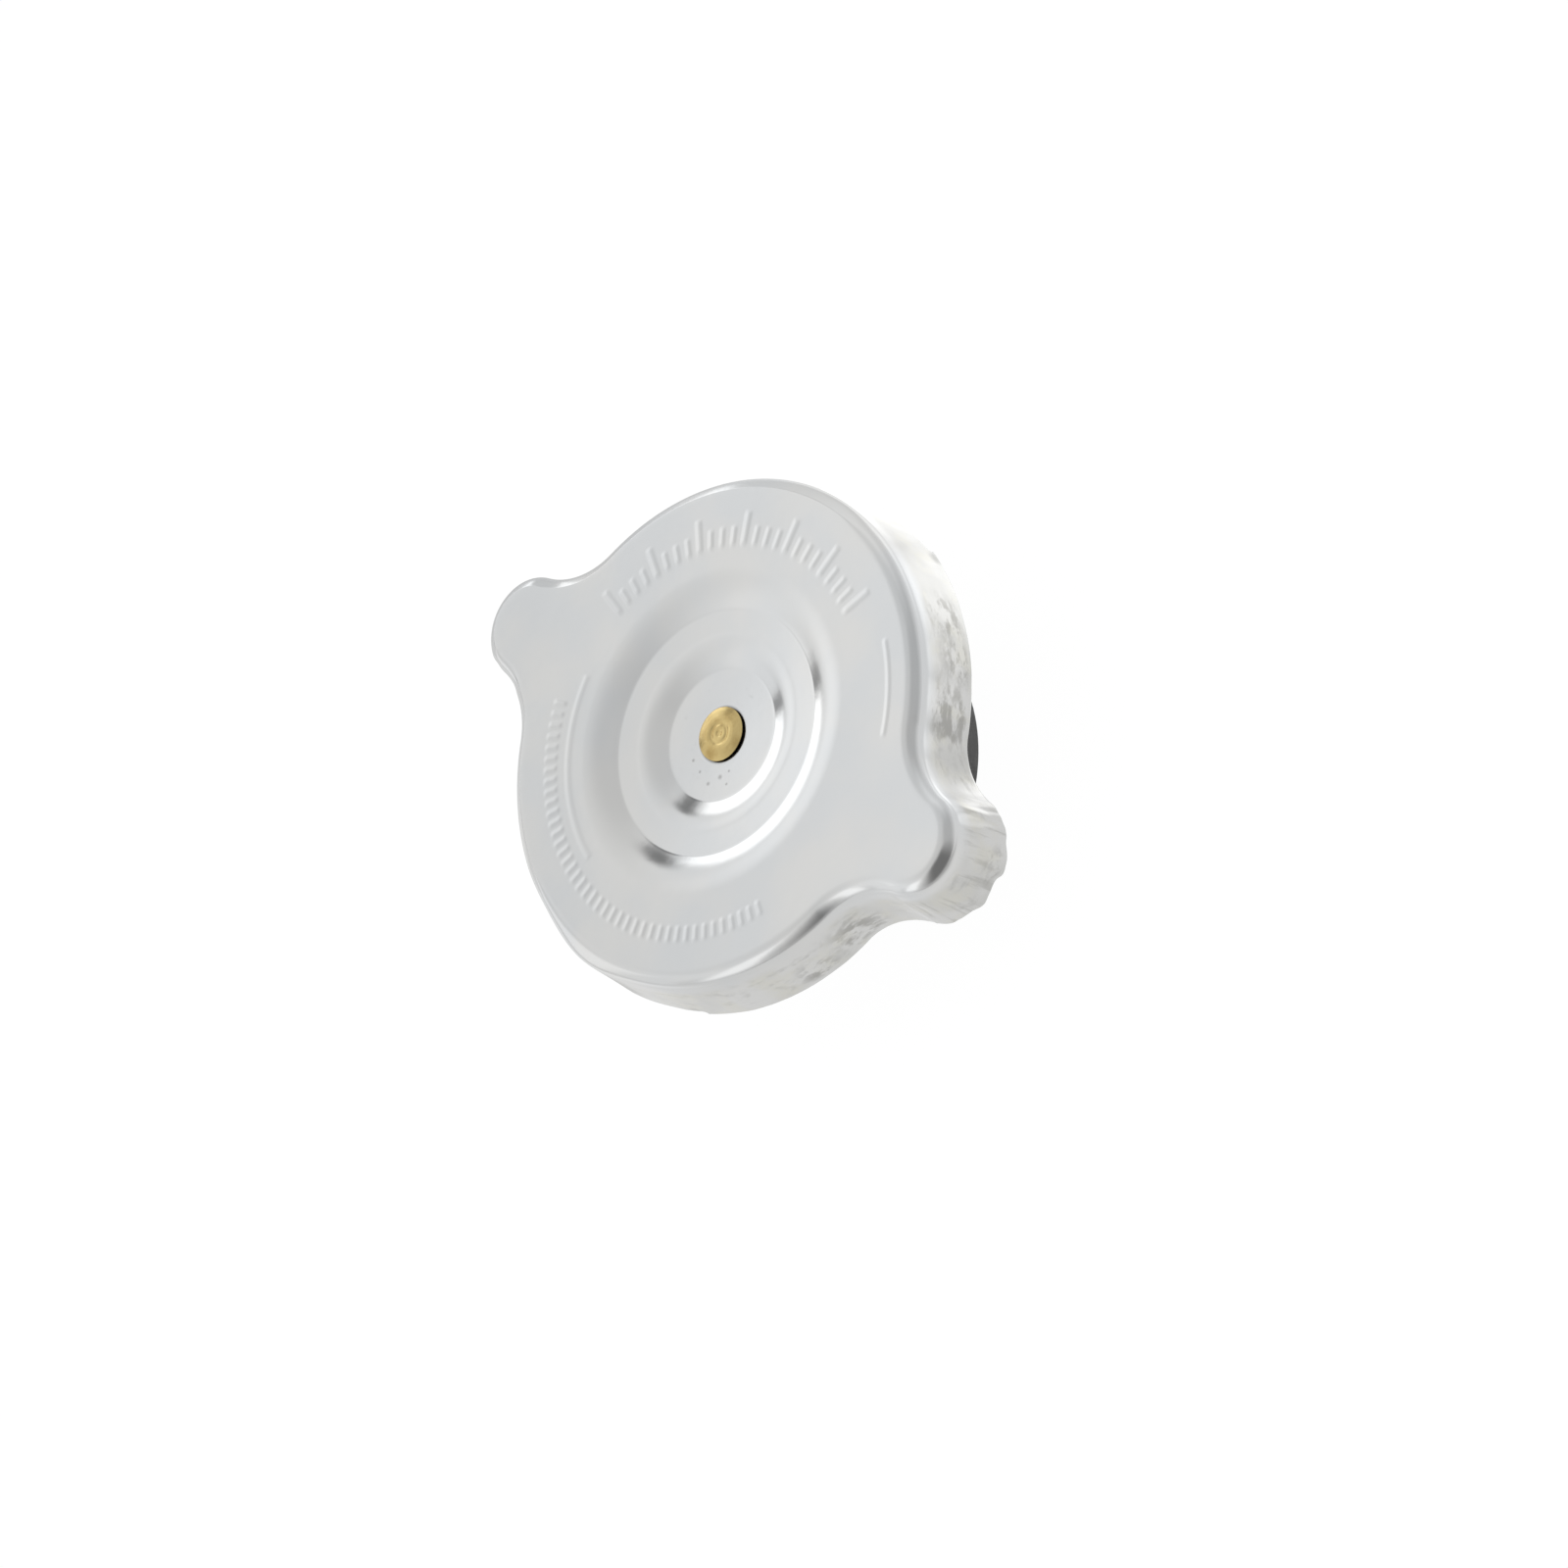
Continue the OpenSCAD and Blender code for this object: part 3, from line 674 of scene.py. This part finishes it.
class Shader:
    """A short way to write a node tree."""

    def __init__(self, tree):
        self.tree = tree

    def node(self, kind, **settings):
        made = self.tree.nodes.new(kind)
        for key, value in settings.items():
            setattr(made, key, value)
        return made

    def link(self, source, target):
        self.tree.links.new(source, target)

    def math(self, operation, a, b=None):
        made = self.node("ShaderNodeMath", operation=operation)
        for socket, value in zip(made.inputs, (a, b)):
            if value is not None:
                self.put(value, socket)
        return made.outputs[0]

    def product(self, first, *others):
        for other in others:
            first = self.math("MULTIPLY", first, other)
        return first

    def span(self, value, low, high, to_low=0.0, to_high=1.0, smooth=True):
        """A value's share of the way from low to high, clipped, and put between two other numbers."""
        made = self.node("ShaderNodeMapRange", interpolation_type="SMOOTHSTEP" if smooth else "LINEAR")
        self.link(value, made.inputs["Value"])
        for key, number in (("From Min", low), ("From Max", high), ("To Min", to_low), ("To Max", to_high)):
            made.inputs[key].default_value = number
        return made.outputs["Result"]

    def mix(self, share, a, b):
        made = self.node("ShaderNodeMix", data_type="RGBA")
        self.put(share, made.inputs["Factor"])
        self.put(a, made.inputs[6])
        self.put(b, made.inputs[7])
        return made.outputs[2]

    def put(self, value, socket):
        if isinstance(value, (int, float)):
            socket.default_value = value
        elif isinstance(value, (tuple, list)):
            socket.default_value = (*value, 1.0) if len(value) == 3 else value
        else:
            self.link(value, socket)

    def noise(self, scale, detail=3.0, roughness=0.5, stretch=None):
        """Noise with its scale in features a metre of the piece."""
        place = self.node("ShaderNodeTexCoord").outputs["Object"]
        if stretch:
            mapping = self.node("ShaderNodeMapping")
            mapping.inputs["Scale"].default_value = stretch
            self.link(place, mapping.inputs["Vector"])
            place = mapping.outputs["Vector"]
        made = self.node("ShaderNodeTexNoise")
        self.link(place, made.inputs["Vector"])
        made.inputs["Scale"].default_value = scale
        made.inputs["Detail"].default_value = detail
        made.inputs["Roughness"].default_value = roughness
        return made.outputs["Fac"]

    def wavering(self, noise, amount, least):
        """A number that noise raises above its least by up to an amount."""
        return self.math("ADD", self.math("MULTIPLY", noise, amount), least)

    def place(self):
        """The piece's own x, y and z, in metres."""
        split = self.node("ShaderNodeSeparateXYZ")
        self.link(self.node("ShaderNodeTexCoord").outputs["Object"], split.inputs[0])
        return split.outputs

    def near(self, spots):
        """1 at the spots, which are places and radii in millimetres, and 0 away from them."""
        here = self.node("ShaderNodeTexCoord").outputs["Object"]
        share = 0.0
        for spot, radius in spots:
            gap = self.node("ShaderNodeVectorMath", operation="DISTANCE")
            self.link(here, gap.inputs[0])
            gap.inputs[1].default_value = tuple(value * MM for value in spot)
            close = self.span(gap.outputs["Value"], radius * SPOT_END * MM, radius * SPOT_FULL * MM)
            share = self.math("MAXIMUM", share, close)
        return share

    def blend(self, level, share, light):
        """A level, a share of which gives way to another."""
        kept = self.math("MULTIPLY", level, self.math("SUBTRACT", 1.0, share))
        return self.math("ADD", kept, self.math("MULTIPLY", share, light))

    def radius(self):
        """The distance from the piece's axis, in metres."""
        x, y, _ = self.place()
        return self.math("SQRT", self.math("ADD", self.math("MULTIPLY", x, x), self.math("MULTIPLY", y, y)))

    def bump(self, height, distance, strength, under=None):
        made = self.node("ShaderNodeBump")
        made.inputs["Strength"].default_value = strength
        made.inputs["Distance"].default_value = distance
        self.link(height, made.inputs["Height"])
        if under is not None:
            self.link(under, made.inputs["Normal"])
        return made.outputs["Normal"]


def new_material(name):
    material = bpy.data.materials.new(name)
    material.use_nodes = True
    shader = Shader(material.node_tree)
    return material, shader, material.node_tree.nodes["Principled BSDF"].inputs


# The heavier grey patches of the skirt, which are painted reflections: place and radius
REFLECTION_PATCHES = [
    ((20.6, 24.7, 19.6), 3.4),
    ((24.6, 20.8, 18.8), 3.2),
    ((28.6, 14.6, 20.0), 5.0),
    ((29.2, -12.6, 19.2), 3.6),
    ((25.6, -19.2, 18.0), 2.8),
    ((42.6, 1.5, 17.2), 2.2),
    ((9.8, -31.0, 17.0), 1.2),
    ((-22.0, 23.8, 18.6), 4.0),
    ((-26.5, -17.8, 19.0), 4.5),
]

# Colours of the plating, of what lies on it, and of the painted reflection and shade on it
ZINC_COOL = (0.73, 0.745, 0.755)
ZINC_PALE = (0.77, 0.77, 0.76)
SKIRT_GREY = (0.62, 0.62, 0.605)
SKIRT_PALE = (0.69, 0.69, 0.68)
WARM_STAIN = (0.675, 0.665, 0.60)
REFLECTION_GREY = (0.30, 0.295, 0.275)
SPECK = (0.33, 0.33, 0.32)
FOLD_SHADE = (0.33, 0.325, 0.30)
RIVET_SHADE = (0.05, 0.045, 0.035)
BLACK = (0.0, 0.0, 0.0)

# How strongly each shows on the plating where it is full, and the specks beside the pits
WARM_SHARE, REFLECTION_SHARE, FOLD_SHADE_SHARE, PIT_SHARE, SPECK_SHARE = 0.6, 0.68, 0.36, 0.62, 0.16

# The face's colour holds painted shade: it is bright towards one side, a direction, and darker by a share at
# the other. It is a little darker outside the steps too, from one radius to another.
PAINTED_LIT_SIDE = (0.71, 0.71)
SHADE_REACH, SHADE_ACROSS = 32.0, 0.16
DARKER_FROM_R, DARKER_FULL_R, DARKER_OUTSIDE = 16.0, 19.0, 0.035

# Heights below the face and radii between which the skirt's colours begin, and heights above its lower edge
# between which its painted reflections do
SKIRT_FROM, SKIRT_FULL = 2.0, 4.0
SKIRT_FROM_R, SKIRT_FULL_R = WEB_R + 3, WEB_R + 5
REFLECTION_FROM, REFLECTION_FULL = 0.3, 1.4

# Faint painted reflections end at some y, specks and painted shade lie round the rivet, and painted shade
# streaks on the ears
FAINT_SHARE, FAINT_TO_Y, FAINT_END_Y = 0.42, 25.0, 28.0
SPECK_FULL_R, SPECK_END_R = 5.5, 9.0
FOLD_SHADE_FROM_X, FOLD_SHADE_FULL_X = 34.0, 39.0
RIVET_SHADE_SHARE, RIVET_SHADE_FULL_R, RIVET_SHADE_END_R = 0.75, 3.3, 3.75
RIVET_SHADE_FROM, RIVET_SHADE_FULL = 1.5, 1.8


def plating():
    """Bright zinc: nearly even on the face, with painted shade towards one side and round the rivet. The
    skirt has grey patches of painted reflection, streaks of painted shade at the ears and faint yellow-green
    stains.
    """
    material, s, surface = new_material("bright_zinc")
    x, y, z = s.place()
    radius = s.radius()

    colour = s.mix(s.span(s.noise(70, 3), 0.35, 0.65), ZINC_COOL, ZINC_PALE)
    # Painted shade: the face darker towards one side, and a little darker outside the steps
    across = s.math("ADD", s.math("MULTIPLY", x, PAINTED_LIT_SIDE[0]), s.math("MULTIPLY", y, PAINTED_LIT_SIDE[1]))
    painted_shade = s.math("ADD", s.span(across, SHADE_REACH * MM, -SHADE_REACH * MM, 0.0, SHADE_ACROSS, smooth=False),
                    s.span(radius, DARKER_FROM_R * MM, DARKER_FULL_R * MM, 0.0, DARKER_OUTSIDE))
    colour = s.mix(painted_shade, colour, BLACK)

    below_face = s.span(z, (FACE_Z - SKIRT_FROM) * MM, (FACE_Z - SKIRT_FULL) * MM)
    on_skirt = s.product(below_face, s.span(radius, SKIRT_FROM_R * MM, SKIRT_FULL_R * MM))
    skirt_colour = s.mix(s.span(s.noise(120, 3), 0.4, 0.62), SKIRT_GREY, SKIRT_PALE)
    colour = s.mix(on_skirt, colour, skirt_colour)
    tint = s.product(s.span(s.noise(210, 5, 0.65), 0.45, 0.66), on_skirt, WARM_SHARE)
    colour = s.mix(tint, colour, WARM_STAIN)

    # Painted reflections: grey patches on the skirt, heavy at the listed places and faint up to some y
    heavy_reflection = s.product(s.span(s.noise(760, 6, 0.66, stretch=(0.45, 0.45, 1)), 0.44, 0.6), s.near(REFLECTION_PATCHES))
    faint_reflection = s.product(s.span(s.noise(520, 6, 0.64, stretch=(0.5, 0.5, 1)), 0.52, 0.68),
                      s.span(y, FAINT_TO_Y * MM, FAINT_END_Y * MM, FAINT_SHARE, 0.0))
    above_lip = s.span(z, (SKIRT_Z + REFLECTION_FROM) * MM, (SKIRT_Z + REFLECTION_FULL) * MM)
    painted_reflection = s.product(s.math("MAXIMUM", heavy_reflection, faint_reflection), on_skirt, above_lip, REFLECTION_SHARE)
    colour = s.mix(painted_reflection, colour, REFLECTION_GREY)

    specks = s.product(s.span(s.noise(1300, 3, 0.6), 0.6, 0.72),
                       s.span(radius, SPECK_END_R * MM, SPECK_FULL_R * MM), SPECK_SHARE)
    colour = s.mix(s.product(s.math("MAXIMUM", specks, s.near(PITS)), PIT_SHARE), colour, SPECK)
    # Painted shade: dark streaks down the ears' skirt, standing in for the shading of its folds
    fold_shade = s.span(s.noise(1000, 4, 0.6, stretch=(1, 1, 0.1)), 0.5, 0.66)
    at_ear = s.product(s.span(s.math("ABSOLUTE", x), FOLD_SHADE_FROM_X * MM, FOLD_SHADE_FULL_X * MM), on_skirt)
    colour = s.mix(s.product(fold_shade, at_ear, FOLD_SHADE_SHARE), colour, FOLD_SHADE)
    # Painted shade: a dark ring on the flat round the rivet's head, where its shadow falls
    rivet_shade_ring = s.product(s.span(radius, RIVET_SHADE_FULL_R * MM, RIVET_SHADE_END_R * MM, RIVET_SHADE_SHARE, 0.0),
                      s.span(z, (FACE_Z - RIVET_SHADE_FROM) * MM, (FACE_Z - RIVET_SHADE_FULL) * MM))
    s.put(s.mix(rivet_shade_ring, colour, RIVET_SHADE), surface["Base Color"])

    surface["Metallic"].default_value = 1.0
    s.put(s.wavering(s.noise(240, 4, 0.6), 0.10, 0.11), surface["Roughness"])
    peel = s.bump(s.noise(900, 2), 0.00002, 0.35)
    s.put(s.bump(s.noise(5200, 2), 0.000004, 0.3, peel), surface["Normal"])
    return material


def steel(name, base, rough, lines=(1, 1, 1)):
    """Plain steel with drawing lines along one direction and small dull patches."""
    material, s, surface = new_material(name)
    darker = tuple(c * 0.78 for c in base)
    s.put(s.mix(s.span(s.noise(180, 4, 0.6), 0.35, 0.7), base, darker), surface["Base Color"])
    surface["Metallic"].default_value = 1.0
    s.put(s.wavering(s.noise(420, 3), 0.16, rough), surface["Roughness"])
    s.put(s.bump(s.noise(300, 3, 0.6, stretch=lines), 0.00002, 0.35), surface["Normal"])
    return material


def brass(name, base, rough, tarnish_scale):
    """Brass with a little tarnish and fine tool marks."""
    material, s, surface = new_material(name)
    tarnish = tuple(c * f for c, f in zip(base, (0.66, 0.6, 0.5)))
    s.put(s.mix(s.span(s.noise(tarnish_scale, 4, 0.6), 0.4, 0.76), base, tarnish), surface["Base Color"])
    surface["Metallic"].default_value = 1.0
    s.put(s.wavering(s.noise(900, 3), 0.18, rough), surface["Roughness"])
    s.put(s.bump(s.noise(1500, 3), 0.00003, 0.2), surface["Normal"])
    return material


# Heights above the flat between which the painted shade under the rivet's head is full and ends, and its
# colour
HEAD_SHADE_FULL, HEAD_SHADE_END = 0.22, 0.36
HEAD_SHADE = (0.02, 0.015, 0.01)


def rivet_brass():
    """The rivet's brass, with painted shade under the edge of its head."""
    material = brass("rivet_brass", (0.645, 0.50, 0.224), 0.15, 260)
    s = Shader(material.node_tree)
    surface = material.node_tree.nodes["Principled BSDF"].inputs
    colour = surface["Base Color"].links[0].from_socket
    # Painted shade: dark on the rivet just above the flat, under the edge of its head
    under = s.span(s.place()[2], (HUB_Z + HEAD_SHADE_END) * MM, (HUB_Z + HEAD_SHADE_FULL) * MM)
    s.put(s.mix(under, colour, HEAD_SHADE), surface["Base Color"])
    return material


RUBBER = (0.155, 0.155, 0.153)
RUBBER_BLOOM = tuple(c * 1.5 for c in RUBBER)


def rubber(name):
    """Moulded black rubber, aged grey, with a faint bloom."""
    material, s, surface = new_material(name)
    s.put(s.mix(s.span(s.noise(260, 4, 0.6), 0.45, 0.75), RUBBER, RUBBER_BLOOM), surface["Base Color"])
    s.put(s.wavering(s.noise(700, 3), 0.2, 0.42), surface["Roughness"])
    s.put(s.bump(s.noise(2600, 3), 0.00004, 0.4), surface["Normal"])
    return material


def assign(piece, material):
    piece.data.materials.clear()
    piece.data.materials.append(material)


# Floor, light and camera

FLOOR_SIZE = 6.0
FLOOR_WHITE = (0.9, 0.9, 0.9, 1)

# How much of what a ray sees of the floor is its own glow, and how bright the camera sees it
FLOOR_GLOW = 0.94
FLOOR_SEEN = 1.04

# How bright the floor's glow is in reflections, with painted light and shade: in general, at brighter spots
# that are painted pools of light, at darker spots, one of them a painted shadow of the cap, and in front,
# where it darkens from one x to another and only up to some y
FLOOR_MIRRORED = 0.88
FLOOR_LIGHTS = [
    (1.55, [((10.0, 46.0, 0.0), 17.0), ((-14.0, 41.0, 0.0), 17.0)]),
    (1.15, [((31.0, 44.0, 0.0), 7.0), ((43.0, 37.0, 0.0), 6.0)]),
    (1.50, [((25.0, 23.0, 0.0), 5.0)]),
    (1.15, [((-60.0, -100.0, 0.0), 55.0), ((-130.0, -90.0, 0.0), 45.0)]),
    (1.20, [((-20.0, 120.0, 0.0), 60.0), ((-110.0, 150.0, 0.0), 70.0)]),
    # A painted shadow of the cap beside it, seen in reflections
    (0.60, [((-20.0, -35.0, 0.0), 7.0)]),
    (0.74, [((-125.0, 25.0, 0.0), 55.0)]),
]
FRONT_FROM_X, FRONT_FULL_X, FRONT_MIRRORED = 75.0, 190.0, 0.5
FRONT_FULL_Y, FRONT_END_Y = 40.0, 120.0


def make_floor():
    """A white floor that takes shadows and that mirroring metal sees as the studio's floor."""
    half = FLOOR_SIZE / 2
    corners = [(-half, -half, 0), (half, -half, 0), (half, half, 0), (-half, half, 0)]
    mesh = bpy.data.meshes.new("floor")
    mesh.from_pydata(corners, [], [(0, 1, 2, 3)])
    floor = bpy.data.objects.new("floor", mesh)
    bpy.context.scene.collection.objects.link(floor)
    material = bpy.data.materials.new("floor_white")
    material.use_nodes = True
    s = Shader(material.node_tree)
    nodes = material.node_tree.nodes
    nodes.remove(nodes["Principled BSDF"])
    matt = s.node("ShaderNodeBsdfDiffuse")
    matt.inputs["Color"].default_value = FLOOR_WHITE
    glow = s.node("ShaderNodeEmission")
    mirrored = FLOOR_MIRRORED
    for light, spots in FLOOR_LIGHTS:
        mirrored = s.blend(mirrored, s.near(spots), light)
    x, y, _ = s.place()
    in_front = s.product(s.span(x, FRONT_FROM_X * MM, FRONT_FULL_X * MM),
                         s.span(y, FRONT_FULL_Y * MM, FRONT_END_Y * MM, 1.0, 0.0))
    mirrored = s.blend(mirrored, in_front, FRONT_MIRRORED)
    rays = s.node("ShaderNodeLightPath").outputs
    seen = s.math("MAXIMUM", rays["Is Glossy Ray"], rays["Is Transmission Ray"])
    seen = s.math("MAXIMUM", rays["Is Camera Ray"], seen)
    s.link(s.blend(mirrored, rays["Is Camera Ray"], FLOOR_SEEN), glow.inputs["Strength"])
    both = s.node("ShaderNodeMixShader")
    s.link(s.product(seen, FLOOR_GLOW), both.inputs[0])
    s.link(matt.outputs[0], both.inputs[1])
    s.link(glow.outputs[0], both.inputs[2])
    s.link(both.outputs[0], nodes["Material Output"].inputs["Surface"])
    assign(floor, material)


# The studio. Angles are in degrees: the rise above the horizon, and the turn from +X towards +Y.
# Its brightness by rise, and then soft round patches
SKY = [
    (-90, 0.8), (0, 0.8), (16, 0.84), (33, 0.97), (43, 0.98), (48, 0.92),
    (55, 0.89), (62, 0.83), (72, 0.75), (80, 0.70), (90, 0.68),
]
PATCHES = [
    {"turn": 110.0, "rise": 62.0, "radius": 12.0, "soft": 26.0, "light": 0.74},
    {"turn": 185.0, "rise": 32.0, "radius": 4.0, "soft": 12.0, "light": 1.15},
    {"turn": 152.0, "rise": 36.5, "radius": 4.0, "soft": 5.0, "light": 0.2},
]

# A bright window low at the back, a dark stand beside it, three pale screens, and the dim side of the room in
# two parts. Each has the turns between which it stands and how soft it is there, the rises between which it
# stands, how much it climbs for each degree of turn, how soft it is below and above, and its brightness.
PANELS = [
    (157.5, 195.5, 2.0, -20.0, 21.5, -0.4, 2.0, 1.6),
    (195.5, 200.5, 2.0, -10.0, 20.0, 0.0, 2.0, 0.25),
    (202.5, 236.0, 3.0, -14.0, 25.0, 0.7, 8.0, 1.18),
    (233.0, 252.0, 8.0, -14.0, 40.0, 0.0, 8.0, 0.97),
    (262.0, 284.0, 8.0, 8.0, 48.0, 0.0, 8.0, 1.25),
    (5.0, 98.0, 50.0, 10.0, 72.0, 0.0, 14.0, 0.56),
    (300.0, 385.0, 44.0, -2.0, 76.0, 0.0, 12.0, 0.2),
]


def sky_level(s, rise):
    """The studio's brightness by rise alone."""
    ramp = s.node("ShaderNodeValToRGB")
    s.link(s.math("DIVIDE", s.math("ADD", rise, 90.0), 180.0), ramp.inputs[0])
    stops = ramp.color_ramp.elements
    stops.remove(stops[-1])
    for i, (at, light) in enumerate(SKY):
        stop = stops[0] if i == 0 else stops.new((at + 90) / 180)
        stop.position = (at + 90) / 180
        stop.color = (light, light, light, 1)
    return ramp.outputs[0]


def patch_share(s, direction, patch):
    """1 in a round patch of the studio and 0 away from it."""
    turned, raised = math.radians(patch["turn"]), math.radians(patch["rise"])
    towards = (math.cos(turned) * math.cos(raised), math.sin(turned) * math.cos(raised), math.sin(raised))
    dot = s.node("ShaderNodeVectorMath", operation="DOT_PRODUCT")
    s.link(direction, dot.inputs[0])
    dot.inputs[1].default_value = towards
    cosine = s.math("MINIMUM", dot.outputs["Value"], 1.0)
    apart = s.product(s.math("ARCCOSINE", cosine), 180 / math.pi)
    return s.span(apart, patch["radius"], patch["radius"] + patch["soft"], 1.0, 0.0)


def panel_share(s, turn, rise, start, end, edge, low, high, slant, soft):
    """1 in a panel of the studio and 0 away from it."""
    middle, half = (start + end) / 2, (end - start) / 2
    wrap = s.node("ShaderNodeMath", operation="WRAP")
    s.link(s.math("SUBTRACT", turn, middle), wrap.inputs[0])
    wrap.inputs[1].default_value = 180.0
    wrap.inputs[2].default_value = -180.0
    off = wrap.outputs[0]
    side = s.span(s.math("ABSOLUTE", off), half - edge / 2, half + edge / 2, 1.0, 0.0)
    level_rise = s.math("SUBTRACT", rise, s.product(off, slant))
    foot = s.span(level_rise, low - soft, low + soft)
    top = s.span(level_rise, high - soft, high + soft, 1.0, 0.0)
    return s.product(side, foot, top)


def make_world():
    """The studio that the metal mirrors, which the camera itself sees as white."""
    world = bpy.data.worlds.new("studio")
    bpy.context.scene.world = world
    world.use_nodes = True
    s = Shader(world.node_tree)
    background = world.node_tree.nodes["Background"]
    direction = s.node("ShaderNodeTexCoord").outputs["Generated"]
    split = s.node("ShaderNodeSeparateXYZ")
    s.link(direction, split.inputs[0])
    x, y, z = split.outputs
    rise = s.product(s.math("ARCSINE", z), 180 / math.pi)
    turn = s.product(s.math("ARCTAN2", y, x), 180 / math.pi)

    level = sky_level(s, rise)
    for patch in PATCHES:
        level = s.blend(level, patch_share(s, direction, patch), patch["light"])
    for *shape, light in PANELS:
        level = s.blend(level, panel_share(s, turn, rise, *shape), light)
    seen = s.node("ShaderNodeLightPath").outputs["Is Camera Ray"]
    s.link(s.blend(level, seen, 1.0), background.inputs["Strength"])
    background.inputs["Color"].default_value = (1, 1, 1, 1)


# The camera, fitted to the photograph: its axes in the row frame, its distance in millimetres, and where the
# face's centre lies in the picture, in pixels
TOWARD = Vector((0.6782, 0.0677, 0.7317))
UP = Vector((-0.3610, 0.8980, 0.2515))
DISTANCE = 770.0
PIXELS_PER_MM = 8.58
PICTURE = 1600
FACE_PIXEL = (723.63, 744.23)
SENSOR = 36.0
CLIP_START, CLIP_END = 0.01, 20.0


def make_camera():
    toward = TOWARD.normalized()
    right = UP.cross(toward).normalized()
    up = toward.cross(right)
    centre = Vector((0, 0, FACE_Z))
    aside = (PICTURE / 2 - FACE_PIXEL[0]) / PIXELS_PER_MM
    above = (FACE_PIXEL[1] - PICTURE / 2) / PIXELS_PER_MM
    place = centre + right * aside + up * above + toward * DISTANCE
    data = bpy.data.cameras.new("camera")
    data.sensor_width = SENSOR
    data.lens = PIXELS_PER_MM * DISTANCE * SENSOR / PICTURE
    data.clip_start = CLIP_START
    data.clip_end = CLIP_END
    camera = bpy.data.objects.new("camera", data)
    bpy.context.scene.collection.objects.link(camera)
    turn = Matrix((right, up, toward)).transposed().to_4x4()
    camera.matrix_world = Matrix.Translation(place * MM) @ turn
    bpy.context.scene.camera = camera


make_camera()
make_world()
make_floor()

zinc = plating()
drawn_steel = steel("drawn_steel", (0.60, 0.60, 0.585), 0.24, lines=(1, 1, 0.12))
flat_steel = steel("flat_steel", (0.62, 0.62, 0.60), 0.26)
spring_steel = steel("spring_steel", (0.36, 0.355, 0.345), 0.28)
plain_brass = brass("plain_brass", (0.62, 0.43, 0.165), 0.2, 520)
black_rubber = rubber("black_rubber")

assign(make_cover(), zinc)
assign(make_rivet(), rivet_brass())
for coil in make_springs():
    assign(coil, spring_steel)

NODE_MATERIALS = {
    "neck_gasket": black_rubber,
    "spring_disc": spring_steel,
    "swivel_washer": plain_brass,
    "valve_cage": drawn_steel,
    "valve_cup": drawn_steel,
    "backing_plate": flat_steel,
    "pressure_seal": black_rubber,
    "seal_retainer": flat_steel,
    "valve_ferrule": plain_brass,
    "stem_guide": plain_brass,
    "vacuum_disc": plain_brass,
    "vacuum_seal": black_rubber,
    "vacuum_stem": plain_brass,
    "spring_keeper": plain_brass,
}
for node, material in NODE_MATERIALS.items():
    assign(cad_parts[node], material)

view = bpy.context.scene.view_settings
view.view_transform = "Standard"
